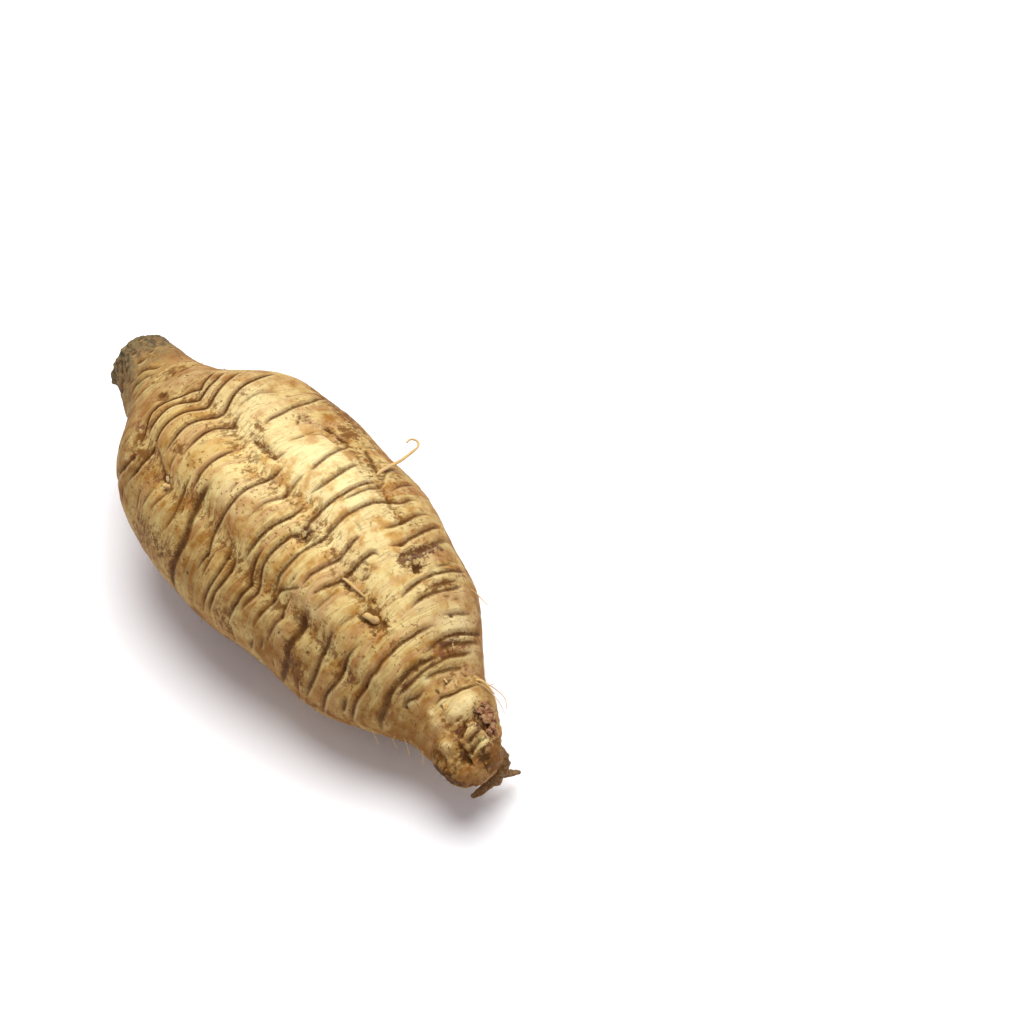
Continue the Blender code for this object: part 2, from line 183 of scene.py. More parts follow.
# Cracks of the growth rings: the width, how dark it is, then the place and the turn of each
# point along it.
CREASES = (
    # The neck and the shoulder
    (1.0, 0.8, (-112.3, -14), (-113, -24)),
    (1.0, 0.8, (-107, -3), (-107, -14.7), (-107.7, -24)),
    (0.8, 0.5, (-105.5, 8), (-105.2, 0)),
    (0.9, 0.7, (-98.2, 6), (-99, -2.7), (-100.7, -9.3), (-102.3, -18), (-102.7, -28), (-102.7, -36)),
    (0.9, 0.6, (-95.7, -5), (-98.2, -19), (-99, -29), (-100.3, -43), (-99.4, -58)),
    (0.9, 0.5, (-91.5, -15), (-92.7, -29), (-92.6, -42), (-92.3, -57)),
    (1.2, 0.8, (-109, -60), (-110, -70), (-107.7, -79), (-110.7, -93), (-111, -104)),
    (1.3, 0.7, (-90, -58), (-93, -65), (-96.5, -87), (-100, -101), (-102.7, -112)),
    (1.0, 0.7, (-83.2, -73), (-84.4, -82), (-84.8, -89)),
    (0.9, 0.6, (-78, -61), (-79.4, -70)),
    (1.2, 0.5, (-94, 12), (-90.7, 6)),
    (1.0, 0.4, (-84.8, 9), (-83, 4)),
    (1.0, 0.95, (-72, 19), (-69.5, 11), (-66.9, 4), (-65, -0.5), (-67, -3), (-69, -7), (-71, -13),
     (-72.3, -20), (-73, -25), (-72.3, -30), (-70, -35), (-67.8, -39.5), (-66, -46)),
    (1.0, 0.95, (-68, 19), (-66, 13), (-64, 8), (-62.8, 2), (-61.2, -5.8), (-62.5, -8),
     (-64.8, -11), (-66.9, -14.7), (-67.8, -20), (-67.3, -30), (-66.9, -34), (-66, -38)),
    (1.0, 0.75, (-64.6, -50), (-65, -54), (-67, -62), (-69.3, -69), (-70.6, -78)),
    (1.4, 0.5, (-60.2, -38.5), (-54, -40.7), (-48.9, -43.6), (-46.2, -45.5)),
    (0.9, 0.55, (-47.2, -32.5), (-47, -38), (-45.3, -42)),
    (0.9, 0.5, (-53.8, -60), (-52.6, -67), (-52, -75)),
    (1.6, 0.4, (-69.8, -73), (-73, -83), (-76.5, -95)),
    (1.0, 0.6, (-82.3, -100), (-84.8, -110)),
    # The body, from the shoulder to its middle
    (1.0, 0.9, (-63, 24), (-60.5, 13), (-58.6, 5), (-57, -1), (-55.5, -7), (-57, -10.7),
     (-60, -16.5), (-61.5, -25), (-61, -33), (-59, -42), (-59.5, -50), (-60, -57), (-62.5, -67)),
    (1.0, 0.9, (-56, 35), (-55, 28), (-54, 21), (-53, 12), (-51.7, 6), (-49.4, 0), (-48.4, -3.5),
     (-49.4, -8), (-52, -14.5), (-53.5, -20), (-53.7, -24), (-53.2, -29), (-52.5, -38)),
    (1.0, 0.9, (-44, 4), (-41.3, -3.3), (-40.6, -4.3), (-42, -6.5), (-44.3, -10), (-45.5, -16),
     (-45.7, -22), (-45, -31)),
    (0.9, 0.35, (-44, 26), (-46.5, 17), (-46.8, 10), (-46, 3)),
    (1.0, 0.75, (-41.5, 55), (-39, 44), (-37.5, 39), (-36.4, 32), (-35.7, 25), (-34.7, 18),
     (-34.3, 11), (-33.3, 7)),
    (1.0, 0.8, (-31.7, -10.5), (-32.5, -17), (-33.3, -23), (-33.4, -29), (-32.7, -34), (-32.5, -40)),
    (0.9, 0.7, (-36, -34), (-35.3, -42), (-34.2, -46.5), (-33, -51), (-32.3, -56), (-33, -64)),
    (1.0, 0.8, (-12.8, -1), (-12, -7.5), (-12.3, -12), (-13.3, -17), (-14, -23), (-14.1, -32),
     (-14.7, -40), (-15, -46), (-14, -51), (-12.3, -56), (-11.8, -59), (-12.5, -63), (-13.2, -70)),
    (2.3, 0.85, (-26.8, -29), (-27.4, -36), (-27.4, -42), (-26, -49.5), (-24, -56), (-23.3, -61),
     (-23.6, -67), (-24.2, -74), (-24.9, -81), (-25.5, -88), (-26, -93), (-26.6, -108)),
    (0.9, 0.6, (-41, -48), (-42.3, -55), (-43.2, -62)),
    (0.9, 0.6, (-47.3, -52.7), (-48.2, -60), (-49, -68)),
    (0.9, 0.5, (-44, -68), (-44.4, -75), (-44.8, -81)),
    (0.9, 0.5, (-49.4, -70), (-49.8, -80)),
    (1.1, 0.8, (-47.3, -48.7), (-45.7, -46), (-44, -42.7)),
    (1.6, 0.45, (-32, -1), (-28, -2), (-23, -0.6), (-17, -2)),
    (0.9, 0.8, (-32.5, 26), (-30, 24), (-28.8, 22), (-27, 19)),
    (0.9, 0.7, (-28.6, 29.5), (-28.4, 23)),
    (1.8, 0.9, (-23.4, 31), (-21.8, 34), (-18.7, 35.5), (-15.5, 36.5), (-11.5, 39)),
    # The middle
    (1.1, 0.7, (-12, 38), (-10.4, 31), (-8.6, 24), (-6.5, 14), (-5.2, 7), (-5, 2)),
    (0.9, 0.55, (-5.8, 5), (-5, 0.5), (-4, -6), (-3, -12), (-3.6, -16), (-5, -21), (-5.2, -32)),
    (1.0, 0.7, (-0.6, 29), (0.4, 25), (1.6, 19), (2.5, 14), (3, 8), (2.9, 2), (2.4, -3)),
    (1.6, 0.7, (-13, 46), (-6.4, 42), (-1.3, 40), (5.5, 36.5), (8.8, 34)),
    (1.0, 0.8, (8.6, 31), (9.4, 25), (10.2, 18), (10.6, 10), (10.4, 3), (10.2, -4), (10.8, -11),
     (12.2, -16), (13, -19)),
    (1.0, 0.85, (13, -19.5), (11, -23), (10.4, -29), (9.7, -38), (10, -45), (11, -50), (12.8, -55),
     (13.4, -58.5), (12.5, -63), (11.4, -70)),
    (1.0, 0.6, (1, 60), (3, 49), (4.8, 43), (7, 38), (10.4, 33), (11.8, 27), (12.4, 19), (12.6, 11),
     (12.2, 4)),
    (1.0, 0.6, (11, 58), (12, 49), (13, 42), (14.7, 34.5)),
    (1.1, 0.75, (19.6, 49), (20, 42), (20.6, 35.5), (19, 30.5), (18.4, 21.5), (18.5, 14), (18.3, 7),
     (18.2, -1), (18.8, -8), (19.5, -15), (18.8, -21), (18, -26), (17.8, -33), (17.3, -40), (18, -46),
     (19, -52)),
    (0.9, 0.7, (29.5, -32.5), (27.2, -37), (23.8, -42), (21.5, -45.5), (20, -49), (20.3, -55),
     (19.7, -61), (18.8, -66), (18, -75)),
    (1.1, 0.75, (26.3, 52), (27.2, 40), (28.5, 28), (29.5, 21), (29, 15)),
    (1.0, 0.8, (27.3, 5.5), (27.7, -2), (28.6, -9), (29, -14), (28.4, -19), (27.7, -25), (27, -30),
     (27.4, -38)),
    (0.8, 0.35, (20.5, 3.3), (24.7, 4.7), (27.2, 3.3)),
    (0.9, 0.65, (25, -46), (25.3, -53), (26.5, -58), (25.9, -62), (25.4, -68), (25, -77)),
    (1.1, 0.8, (31, 58), (32.2, 50), (33.8, 41), (35, 31), (36.3, 24), (37, 19), (35.4, 12)),
    (1.1, 0.85, (37.2, 5), (35, 3), (35, -3), (35.3, -10), (35.5, -17), (35.2, -23), (34, -28),
     (32.5, -35)),
    (2.4, 0.8, (33, -44), (33.5, -50), (35, -56), (34.7, -62), (34.3, -70), (34.8, -76), (35, -82),
     (34, -90), (32.5, -98), (30, -110)),
    (1.6, 0.6, (36.5, 62), (38, 50), (39.5, 42), (40.5, 34), (41.3, 27), (40.5, 20), (41, 12)),
    (1.0, 0.8, (-4.6, -48), (-4, -54), (-3.6, -60), (-4, -66), (-4.8, -72), (-5.5, -79), (-6.5, -90)),
    (1.0, 0.85, (-2, -48.7), (-0.7, -54), (0.1, -58), (0.1, -62.7), (-0.7, -67.3), (-1.6, -71.3),
     (-2, -78), (-3, -88)),
    (1.1, 0.85, (4, -8), (5.3, -15.5), (4.6, -21), (3.5, -26), (2.9, -32), (2.6, -40), (2.2, -49.5)),
    (1.1, 0.9, (6.3, -36), (6.4, -44), (6.8, -48.7), (8, -53.3), (9.6, -56.7), (9, -62),
     (8.8, -67.3), (8, -73.3), (7, -82)),
    (1.0, 0.6, (18.5, -82), (17, -90), (15, -100)),
    (0.9, 0.6, (23, -76), (22.4, -83), (21.5, -88)),
    # The half that narrows to the tip
    (1.1, 0.8, (49.6, 62), (50.2, 52), (51, 38), (51.2, 28), (51.4, 19), (52.2, 8), (53.2, 1)),
    (0.9, 0.7, (54.2, 48), (55, 38), (55.1, 30), (54.7, 20)),
    (1.2, 0.8, (56.2, 50), (57.1, 42), (57.5, 31), (57, 19), (56.9, 11), (58, 3)),
    (1.0, 0.65, (65.3, 54), (65.6, 44), (65.4, 35), (65.3, 30), (64.2, 22)),
    (1.0, 0.8, (66.3, 15), (65.9, 6), (65.7, 0), (65.9, -4.7), (65.5, -10.7), (65.3, -18),
     (65.5, -24.7), (65.3, -32), (65.9, -40), (65.4, -45), (65.1, -56.7), (64.8, -66), (64.7, -76),
     (64.3, -86), (63.4, -99)),
    (1.1, 0.9, (70, 72), (71, 62), (71.6, 50), (71.2, 35), (71, 22), (71.5, 10), (72.4, -3)),
    (1.4, 0.8, (73.8, 64), (74, 50), (74.1, 39), (73.3, 26), (73.2, 16), (73.6, 9)),
    (2.0, 0.85, (75.4, 7), (74.7, -1), (74.1, -13), (74.1, -28), (73.8, -42), (73.6, -51),
     (74.2, -62), (74.1, -76), (74.7, -96)),
    (1.1, 0.8, (77, 50), (77.2, 36), (76.4, 17), (76.6, 3), (76.6, -12), (76.7, -24), (76.4, -35),
     (76, -46)),
    (1.1, 0.7, (81.2, 30), (80.5, 20), (79.5, 5), (78.7, -8), (79, -16)),
    (1.0, 0.75, (81, -21), (80.9, -33), (79.3, -42), (79.9, -51)),
    (1.0, 0.9, (88, 44), (88.2, 24), (88, 12), (88, 5), (87.5, -2.7), (87.1, -7.3), (86.5, -12),
     (86.9, -25)),
    (0.9, 0.4, (47.8, -24), (47.6, -30), (47.2, -37)),
    (1.3, 0.8, (46.6, -39), (46.5, -50), (46.8, -57), (47.9, -66), (47.9, -74), (46.3, -87), (44.7, -98)),
    (1.1, 0.85, (55.8, -34), (55.3, -49), (55.7, -58), (56.2, -67), (54, -80), (52.8, -92), (51, -108)),
    (1.2, 0.8, (61.6, -71), (61.2, -78), (61, -85), (60, -92)),
    (1.6, 0.9, (97.1, 34), (97.3, 29), (97.2, 24)),
    (1.3, 0.9, (99, 9), (97.8, -2.7), (100, -6), (101, -16), (100.7, -23)),
    (1.2, 0.85, (103.6, 18), (104.2, 6), (104.4, -5), (104, -16)),
    (1.0, 0.7, (106.9, 10), (106.9, 4), (106.9, -14), (105.3, -28)),
)

# In how many steps the line between two points of a crack is smoothed, and how far past the
# crack's ends it can still reach, in millimetres along the root and in degrees round it.
CREASE_STEPS = 4
PAST_ENDS = (3.0, 15.0)

# Dark pits and specks: the place, the turn, half the length and half the width, and how dark.
PITS = (
    (-110.7, -46, 1.2, 1.2, 0.8), (-115, -48, 1.2, 1.5, 0.8), (-112.7, -57, 1.2, 1.2, 0.8),
    (-78.6, -16, 2.4, 1.8, 0.9), (-96.3, -15, 0.9, 0.9, 0.8), (-87.3, 2, 1.0, 0.8, 0.6),
    (-80, 8, 1.0, 0.8, 0.6), (-67.3, 14.7, 0.9, 0.7, 0.8), (-67.3, -63, 1.6, 1.2, 0.8),
    (-64.4, -53, 1.4, 1.3, 0.9), (-73, -25, 1.2, 1.0, 0.8), (-61.2, -5.8, 1.0, 0.9, 0.8),
    (-65, -0.5, 0.9, 0.9, 0.8), (-40.2, -32, 0.9, 0.9, 0.7), (-53.6, -62, 1.2, 0.9, 0.7),
    (-59, -43, 1.5, 1.3, 0.7), (-60, -57, 1.1, 1.0, 0.8), (-31, -77, 1.0, 1.2, 0.7),
    (-33, -81, 0.9, 1.2, 0.7), (-17, -75, 1.0, 1.0, 0.7), (-45.7, -46, 2.0, 1.6, 1.0),
    (-29.4, -2, 1.4, 1.0, 0.9), (-18.6, -1.7, 1.6, 1.0, 0.9), (-12, -7.5, 1.0, 0.9, 0.9),
    (-11.8, -59, 1.2, 1.3, 0.9), (-3, -12, 1.0, 1.0, 0.8), (0.3, 36.8, 1.8, 1.0, 0.8),
    (4, 25, 0.8, 0.8, 0.6), (12, -22.5, 1.6, 1.2, 1.0), (15, -20, 1.8, 1.2, 0.9),
    (17.8, 29.5, 1.9, 1.5, 1.0), (18.4, 21.5, 0.9, 0.9, 0.8), (19.5, -15, 1.0, 1.0, 0.8),
    (20.3, -55, 1.0, 1.2, 0.8), (28.5, 28, 0.9, 1.2, 0.8), (26.5, -58, 1.0, 1.3, 0.9),
    (37, 19, 1.4, 1.2, 0.8), (39.3, -76, 1.2, 1.4, 0.8), (38, -81, 1.0, 1.4, 0.7),
    (41, -87, 1.1, 1.2, 0.7), (-4, -54, 0.9, 1.2, 0.9), (0.1, -58, 1.0, 1.4, 0.9),
    (9.6, -56.7, 1.1, 1.4, 0.9), (28.4, -66, 0.8, 1.2, 0.8), (46.5, 20.5, 1.6, 1.9, 1.0),
    (41.7, 46, 1.1, 1.3, 0.7), (65.7, 30.5, 0.9, 1.2, 0.9), (65.1, -56.7, 0.9, 1.2, 0.8),
    (74.7, 18.7, 1.6, 0.7, 0.9), (74.7, -16, 1.3, 1.2, 0.9), (79.9, -49, 1.2, 1.0, 0.8),
    (89, -18.7, 1.2, 0.8, 0.8), (84, -12, 1.2, 0.9, 0.8), (50, -24.7, 2.2, 1.3, 1.0),
    (56.3, -16, 1.6, 1.2, 0.8), (56.8, -25, 1.2, 1.0, 0.8), (48, -12.7, 1.4, 1.0, 0.8),
    (38, -19, 2.6, 0.8, 0.9), (47.2, -57, 1.0, 1.2, 0.8), (55.5, -57, 1.0, 1.3, 0.8),
    (42, -63, 1.2, 1.0, 0.7), (99.4, 14, 1.6, 1.0, 0.9), (102.7, 18, 1.6, 1.0, 0.8),
    (103.2, 24, 1.6, 1.0, 0.9), (103.2, 42, 1.8, 1.2, 0.8), (101, -16, 1.4, 1.0, 0.9),
    (106.9, -14, 1.2, 1.0, 0.9), (105.3, -26, 1.4, 1.1, 0.9), (108, -34, 2.2, 1.6, 1.0),
    (111.9, 4.7, 1.2, 1.0, 0.9), (113.6, -6.7, 1.2, 0.6, 0.9), (109, -33, 1.6, 1.2, 0.9),
)

# Stains: the kind, the place, the turn, half the length and half the width, and the strength. Some brown
# and purple ones are painted shade and some pale ones painted highlight, as marked below.
STAINS = (
    ("brown", -68, -42, 5.0, 3.5, 0.8), ("brown", -24, -1.5, 9.0, 2.6, 0.7),
    ("brown", -16, 35, 5.0, 4.0, 0.6), ("brown", 45, 21, 4.0, 6.0, 0.6),
    ("brown", 53, -19, 7.5, 5.5, 0.8), ("brown", 38, -19, 4.0, 1.8, 0.8),
    ("brown", 101, 30, 4.5, 7.0, 0.7), ("brown", 99, -18, 3.0, 3.0, 0.6),
    ("brown", -76, -16, 4.0, 3.5, 0.7), ("brown", 83, 8, 5.0, 8.0, 0.35),
    ("brown", 0, 38, 4.0, 3.0, 0.6), ("brown", 14, -21, 4.5, 2.5, 0.7),
    ("brown", 108, -34, 4.0, 3.5, 0.8), ("brown", -100, -20, 9.0, 16.0, 0.2),
    ("brown", 62, 52, 22.0, 6.0, 0.15), ("brown", -82, -98, 16.0, 8.0, 0.3),
    ("brown", 14, -15, 5.0, 5.0, 0.75), ("brown", 28, -6, 3.0, 4.0, 0.55),
    ("brown", 42, 15, 3.4, 3.0, 0.7), ("brown", -31, 0, 3.4, 3.0, 0.7),
    ("brown", -49, -30, 4.0, 3.6, 0.7), ("brown", -67, -46, 5.0, 4.0, 0.6),
    ("brown", -30, 54, 24.0, 9.0, 0.65), ("brown", 8, 48, 14.0, 6.0, 0.4),
    ("brown", 5, -86, 6.0, 14.0, 0.6), ("brown", 40, -82, 5.0, 12.0, 0.7),
    ("brown", 22, -54, 6.0, 4.0, 0.7), ("brown", 55, -60, 5.0, 5.0, 0.5),
    ("brown", -90, 6, 6.0, 14.0, 0.5), ("brown", -92, -16, 5.0, 8.0, 0.4),
    ("brown", -44, -76, 12.0, 8.0, 0.5), ("brown", 105, -80, 6.0, 16.0, 0.5),
    ("reddish", -64.4, -53, 2.6, 2.4, 0.7), ("reddish", -59, -43, 3.4, 3.0, 0.6),
    ("reddish", -45.7, -46, 4.0, 3.4, 0.7), ("reddish", 41.2, 33, 3.4, 11.0, 0.6),
    ("reddish", 51, 54, 2.0, 4.0, 0.8), ("reddish", 47, -45, 2.0, 5.0, 0.5),
    ("reddish", -28.6, 26, 4.0, 4.0, 0.6), ("reddish", 31, 40, 4.0, 8.0, 0.35),
    ("reddish", 101, 28, 4.0, 5.0, 0.5), ("reddish", 76, -60, 2.0, 10.0, 0.4),
    ("purple", 34.7, -53, 2.2, 5.5, 0.9), ("purple", 34.3, -75, 3.4, 16.0, 0.6),
    ("purple", -73, -84, 5.0, 9.0, 0.4), ("purple", 58, -59, 4.5, 6.0, 0.35),
    ("purple", 26, -72, 3.0, 8.0, 0.35), ("purple", -90, -84, 4.0, 12.0, 0.5),
    ("purple", -24.5, -80, 2.4, 14.0, 0.5),
    ("soil", 104, -104, 9.0, 7.0, 1.0), ("soil", 105.5, -30, 3.0, 2.2, 0.95),
    ("brown", 95, -26, 5.0, 1.8, 0.6), ("soil", 106, -10, 1.6, 1.2, 0.4),
    ("soil", 111.4, 3, 2.2, 2.6, 0.9), ("brown", 112, 50, 5.0, 9.0, 0.9),
    ("soil", 101.6, 22, 5.0, 3.0, 0.75), ("soil", 99.6, -10, 1.0, 3.0, 0.6),
    ("purple", -69, -34, 5.0, 4.0, 0.45), ("brown", -62, -52, 12.0, 8.0, 0.45),
    ("brown", -34, -74, 12.0, 9.0, 0.55),
    # The pale patches at 52, 24; 68, 36; 74, 46, and 60, 44 further down, are painted light on the +Y side
    # of the tip half.
    ("pale", 52, 24, 8.0, 8.0, 0.45), ("pale", 68, 36, 8.0, 10.0, 0.85),
    ("pale", 74, 46, 8.0, 6.0, 0.6), ("brown", -18, 43, 6.0, 6.0, 0.8), ("brown", -47, -30, 7.0, 4.0, 0.5),
    ("brown", -48, -87, 9.0, 9.0, 0.6), ("soil", 13, -17, 2.6, 2.6, 0.85),
    ("brown", 36, -5, 7.0, 4.0, 0.5), ("brown", -34, 4, 5.0, 4.0, 0.55),
    ("brown", -50, 10, 5.0, 4.0, 0.45), ("pale", 36, -40, 9.0, 6.0, 0.5),
    ("pale", -78, 0, 6.0, 6.0, 0.4), ("pale", -108, -46, 4.0, 6.0, 0.4),
    ("pale", 102, -8, 3.0, 4.0, 0.5), ("pale", 60, 44, 8.0, 7.0, 0.4),
    ("purple", 41.5, 30, 3.0, 12.0, 0.75), ("purple", 72.3, 20, 1.4, 9.0, 0.75),
    # The bands at -24, -112; -12, -106 and 52, -104 are painted shade along the lower side towards -Y.
    ("brown", -24, -112, 60.0, 7.0, 0.55), ("purple", -12, -106, 34.0, 3.0, 0.4),
    ("brown", -40, -90, 10.0, 7.0, 0.5), ("brown", 52, -104, 26.0, 6.0, 0.5),
    ("brown", 55.2, 29, 1.8, 12.0, 0.75), ("pale", 53.6, 17, 0.8, 7.0, 0.8),
    ("soil", 46.3, 20.5, 2.4, 2.8, 0.95),
    ("brown", 66, 38, 1.4, 9.0, 0.35),
    ("soil", -45.7, -46, 1.6, 1.8, 0.8), ("brown", -61, -46, 5.0, 8.0, 0.75),
    ("soil", -116.5, -46, 2.6, 6.0, 0.7), ("soil", -117, -95, 2.0, 4.0, 0.8),
    # The long band at 84, -118 is painted shade along the lower side as well.
    ("brown", 98, -70, 6.0, 6.0, 0.6), ("brown", 84, -118, 14.0, 5.0, 0.7),
    ("purple", 100.5, 36, 6.5, 8.0, 0.85), ("purple", 99, -12, 2.0, 5.0, 0.6),
    ("reddish", 75, 22, 1.8, 14.0, 0.6), ("reddish", 76, -30, 1.6, 7.0, 0.6),
    ("reddish", 82, 34, 3.0, 7.0, 0.4), ("reddish", -75, -40, 8.0, 4.0, 0.4),
    ("pale", 107.7, 17, 2.2, 3.0, 0.8), ("pale", 100.4, -43, 2.6, 3.0, 0.6),
    ("pale", 81, -40, 6.0, 5.0, 0.35), ("pale", 88, -32, 1.4, 1.2, 0.9), ("pale", 92, -38, 2.8, 2.2, 0.4),
    ("olive", 4, 25, 2.0, 1.6, 0.6), ("olive", 0.8, 14, 2.2, 12.0, 0.4),
    ("olive", -44, 14, 3.0, 10.0, 0.25), ("olive", -97, -45, 9.0, 10.0, 0.35),
    ("olive", 106.9, 4, 1.4, 3.0, 0.8),
    ("pale", 95.5, -3, 2.6, 5.0, 0.6), ("pale", 93, 8, 3.4, 8.0, 0.9), ("pale", 103.5, 3, 2.8, 3.6, 0.7),
    # The five large pale areas on the top, from -45, 10 to 60, 12, are pale bark and also a painted
    # highlight of the top.
    ("pale", -45, 10, 20.0, 14.0, 0.55), ("pale", -8, 14, 18.0, 12.0, 0.6),
    ("pale", -16, -24, 14.0, 9.0, 0.45), ("pale", 22, -8, 14.0, 8.0, 0.4),
    ("pale", 60, 12, 12.0, 9.0, 0.3), ("pale", 89.4, -15, 1.6, 1.4, 0.8),
    ("pale", 79, -14, 1.6, 1.4, 0.8), ("pale", 13.5, -18, 1.8, 1.0, 0.9),
    ("pale", 74.2, 24, 1.4, 1.6, 0.8), ("pale", -44, -44.5, 1.6, 1.0, 0.9),
    ("pale", -67.3, -56, 1.8, 1.4, 0.7), ("pale", 28.4, -66, 1.8, 3.6, 0.5),
)
STAIN_KINDS = ("brown", "reddish", "purple", "olive", "soil", "pale")

# What else the skin stores at its points for its material.
SKIN_MARKS = ("crack_across", "crack_dark", "pit", "neck", "cut", "cut_reach", "flank_shade", "top_highlight")

# Patterns of the bark: the size in millimetres, the detail, the roughness, and the share of its
# fineness left round the root: 0.1 makes it ten times as long that way, and 1 no longer.
SKIN_PATTERNS = {
    "broad": (30.0, 2.0, 0.55, 1.0),
    "patches": (12.0, 2.0, 0.55, 1.0),
    "clouds": (9.0, 3.0, 0.6, 1.0),
    "bands": (3.2, 1.0, 0.5, 0.07),
    "mottle": (2.5, 3.0, 0.6, 0.7),
    "mould": (2.0, 3.0, 0.7, 1.0),
    "blots": (1.9, 3.0, 0.75, 0.6),
    "lines": (1.7, 1.0, 0.5, 0.08),
    "freckles": (1.5, 1.0, 0.6, 1.0),
    "streaks": (1.2, 2.0, 0.6, 0.3),
    "fine": (0.8, 2.0, 0.7, 1.0),
    "pores": (0.5, 3.0, 0.6, 1.0),
}

# How tightly the faint rings of the cut face follow each other, from its middle to its rim.
CUT_RINGS = 24.0

# Sockets of the Mix node when it mixes colours: the share, the colour below and the one above.
MIX_INPUTS = (0, 6, 7)
MIX_OUTPUT = 2

# The top of the body, left clear of painted shade: the place, the turn, and half the length and the turn
# that it fades over. Outside it the flanks and ends get painted shade in an earthy brown, and so do the
# furrows. The next area, smaller and also on the top, gets a painted highlight.
UNSHADED_TOP = (8.0, -4.0, 82.0, 60.0)
HIGHLIGHT_TOP = (6.0, 10.0, 52.0, 24.0)
FURROW_SHADE = 0.42

# Where the skin turns to weathered neck, and over how far. The cut face is what lies inside
# that share of the width.
NECK_BARK = (-94.0, 20.0)
CUT_SHARE = 0.97

# Cracks of the hidden side, drawn by rule: how far apart they lie, where they lie, how long
# they run, the gaps between them, how far they wander, and how wide and how dark they are.
BACK_GAP = (4.0, 8.5)
BACK_TURNS = (62.0, 246.0)
BACK_RUN = (28.0, 110.0)
BACK_REST = (4, 26)
BACK_WANDER = 0.6
BACK_WIDTH = (0.8, 1.4)
BACK_DARK = (0.5, 0.95)

# Short cracks all round, drawn by rule: how many, how long they run, how far they lean and
# wander, how wide and how dark they are, and how clear they keep of the listed cracks.
SHORT_CRACKS = 260
SHORT_RUN = (5, 20)
SHORT_LEAN = 0.9
SHORT_WANDER = 0.3
SHORT_WIDTH = (0.5, 0.9)
SHORT_DARK = (0.2, 0.65)
CLEAR_OF_CRACK = 1.5

# How far from a crack its effect ends and over how far it fades, and how strongly it draws the
# rows of the mesh together. A point shows its crack once the next one is farther by the first
# of the two gaps, and fully once it is farther by both. FAR stands for no crack at all.
CRACK_REACH = 2.2
CRACK_FADE = 0.8
CRACK_PULL = 0.7
CRACK_GAP = (0.4, 0.7)
FAR = 99.0

# Across a crack: half the width of a usual one, the place of its lip and the lip's breadth in
# half widths, and how far to each side the skin swells towards the next crack.
USUAL_HALF = 0.5
LIP = (2.4, 1.2)
COLLAR = 2.8

# The columns of the skin are drawn towards the side that shows: its turn, and how strongly.
FRONT = (-24.5, 0.35)

# The torn rim of the cut: how far it stands out, how large its tatters are, how far it goes.
# The saw left the cut face uneven by a smaller height.
TORN_RIM = (0.9, 3.4, 4.0)
SAW_MARKS = 0.35

# Side rootlets and their stumps: the name, the thickness at each end, and the points that they
# run through, each by its place, its turn and how high it stands over the skin.
ROOTLETS = (
    ("pit_stump", 3.2, 2.2, (53.5, -18.5, -2.5), (52, -19.5, 0.8), (50.4, -21.4, 2.0), (49.2, -22.8, 1.7)),
    ("lying_rootlet", 1.2, 1.0, (35.2, -17.9, -1.5), (36.2, -17.5, 0.7), (40, -16.5, 1.3),
     (44.4, -15.2, 0.7)),
    ("curled_rootlet", 1.6, 0.7, (4.9, 36, -1.5), (4.5, 39, 0.4), (3.7, 43.6, 1.4), (3.1, 48.9, 3.6),
     (2.8, 52.3, 6.5), (2.2, 55.1, 9.3), (1.6, 57.4, 11.8), (0.2, 58.3, 13.0), (-1.8, 58.1, 13.0),
     (-2.9, 56.8, 11.8), (-2.5, 55.6, 10.3)),
    ("shoulder_stump", 2.4, 1.8, (-43, -48, -2.0), (-43.2, -47.6, 1.2), (-43.6, -46.8, 2.2)),
    ("back_rootlet", 2.6, 1.3, (20, 120, -3.0), (20.6, 120.5, 1.5), (22.4, 123, 5.0), (25.5, 126, 6.8),
     (29, 129, 6.4)),
    ("low_back_stump", 3.4, 2.6, (-36, 136, -2.5), (-35.4, 136, 1.6), (-34.6, 136.4, 3.6)),
    ("tip_side_rootlet", 1.5, 0.6, (85.5, 45, -2.0), (86.6, 47, 1.0), (89, 52, 2.0), (92.5, 57, 2.6)),
    ("neck_stump", 2.9, 2.1, (-103, 118, -2.5), (-103.6, 118.4, 1.4), (-104.6, 119, 3.0)),
)

# Hairs and threads of dry root: the thickness, then points as for the rootlets.
THREADS = (
    (0.5, (84, 44, -0.5), (87, 50, 1.0), (90, 62, 2.6), (94, 70, 4.6), (97.5, 74, 4.0)),
    (0.4, (86, 40, -0.5), (90, 48, 1.6), (95, 60, 3.0), (99, 70, 3.4)),
    (0.55, (56, 60, -0.5), (57.5, 63, 1.0), (60.0, 66, 2.6), (62.0, 67, 4.4)),
    (0.35, (-98, -100, -0.5), (-97, -108, 1.6), (-95.6, -112, 4.0)),
    (0.35, (70, -96, -0.5), (72, -102, 1.8), (74, -104, 4.4)),
    (0.35, (79, -98, -0.5), (78, -104, 1.4), (80, -108, 3.8)),
    (0.35, (81.8, -96, -0.5), (84, -104, 2.0), (87, -107, 4.2)),
    (0.3, (90, -92, -0.5), (92.6, -98, 1.8), (94.4, -100, 4.0)),
)

# Hairs drawn by rule on the hidden side: how many, where, their turns, length and thickness.
HAIRS = 42
HAIR_PLACES = (-112, 104)
HAIR_TURNS = (66, 246)
HAIR_LENGTH = (2.5, 6.0)
HAIR_THICK = 0.3

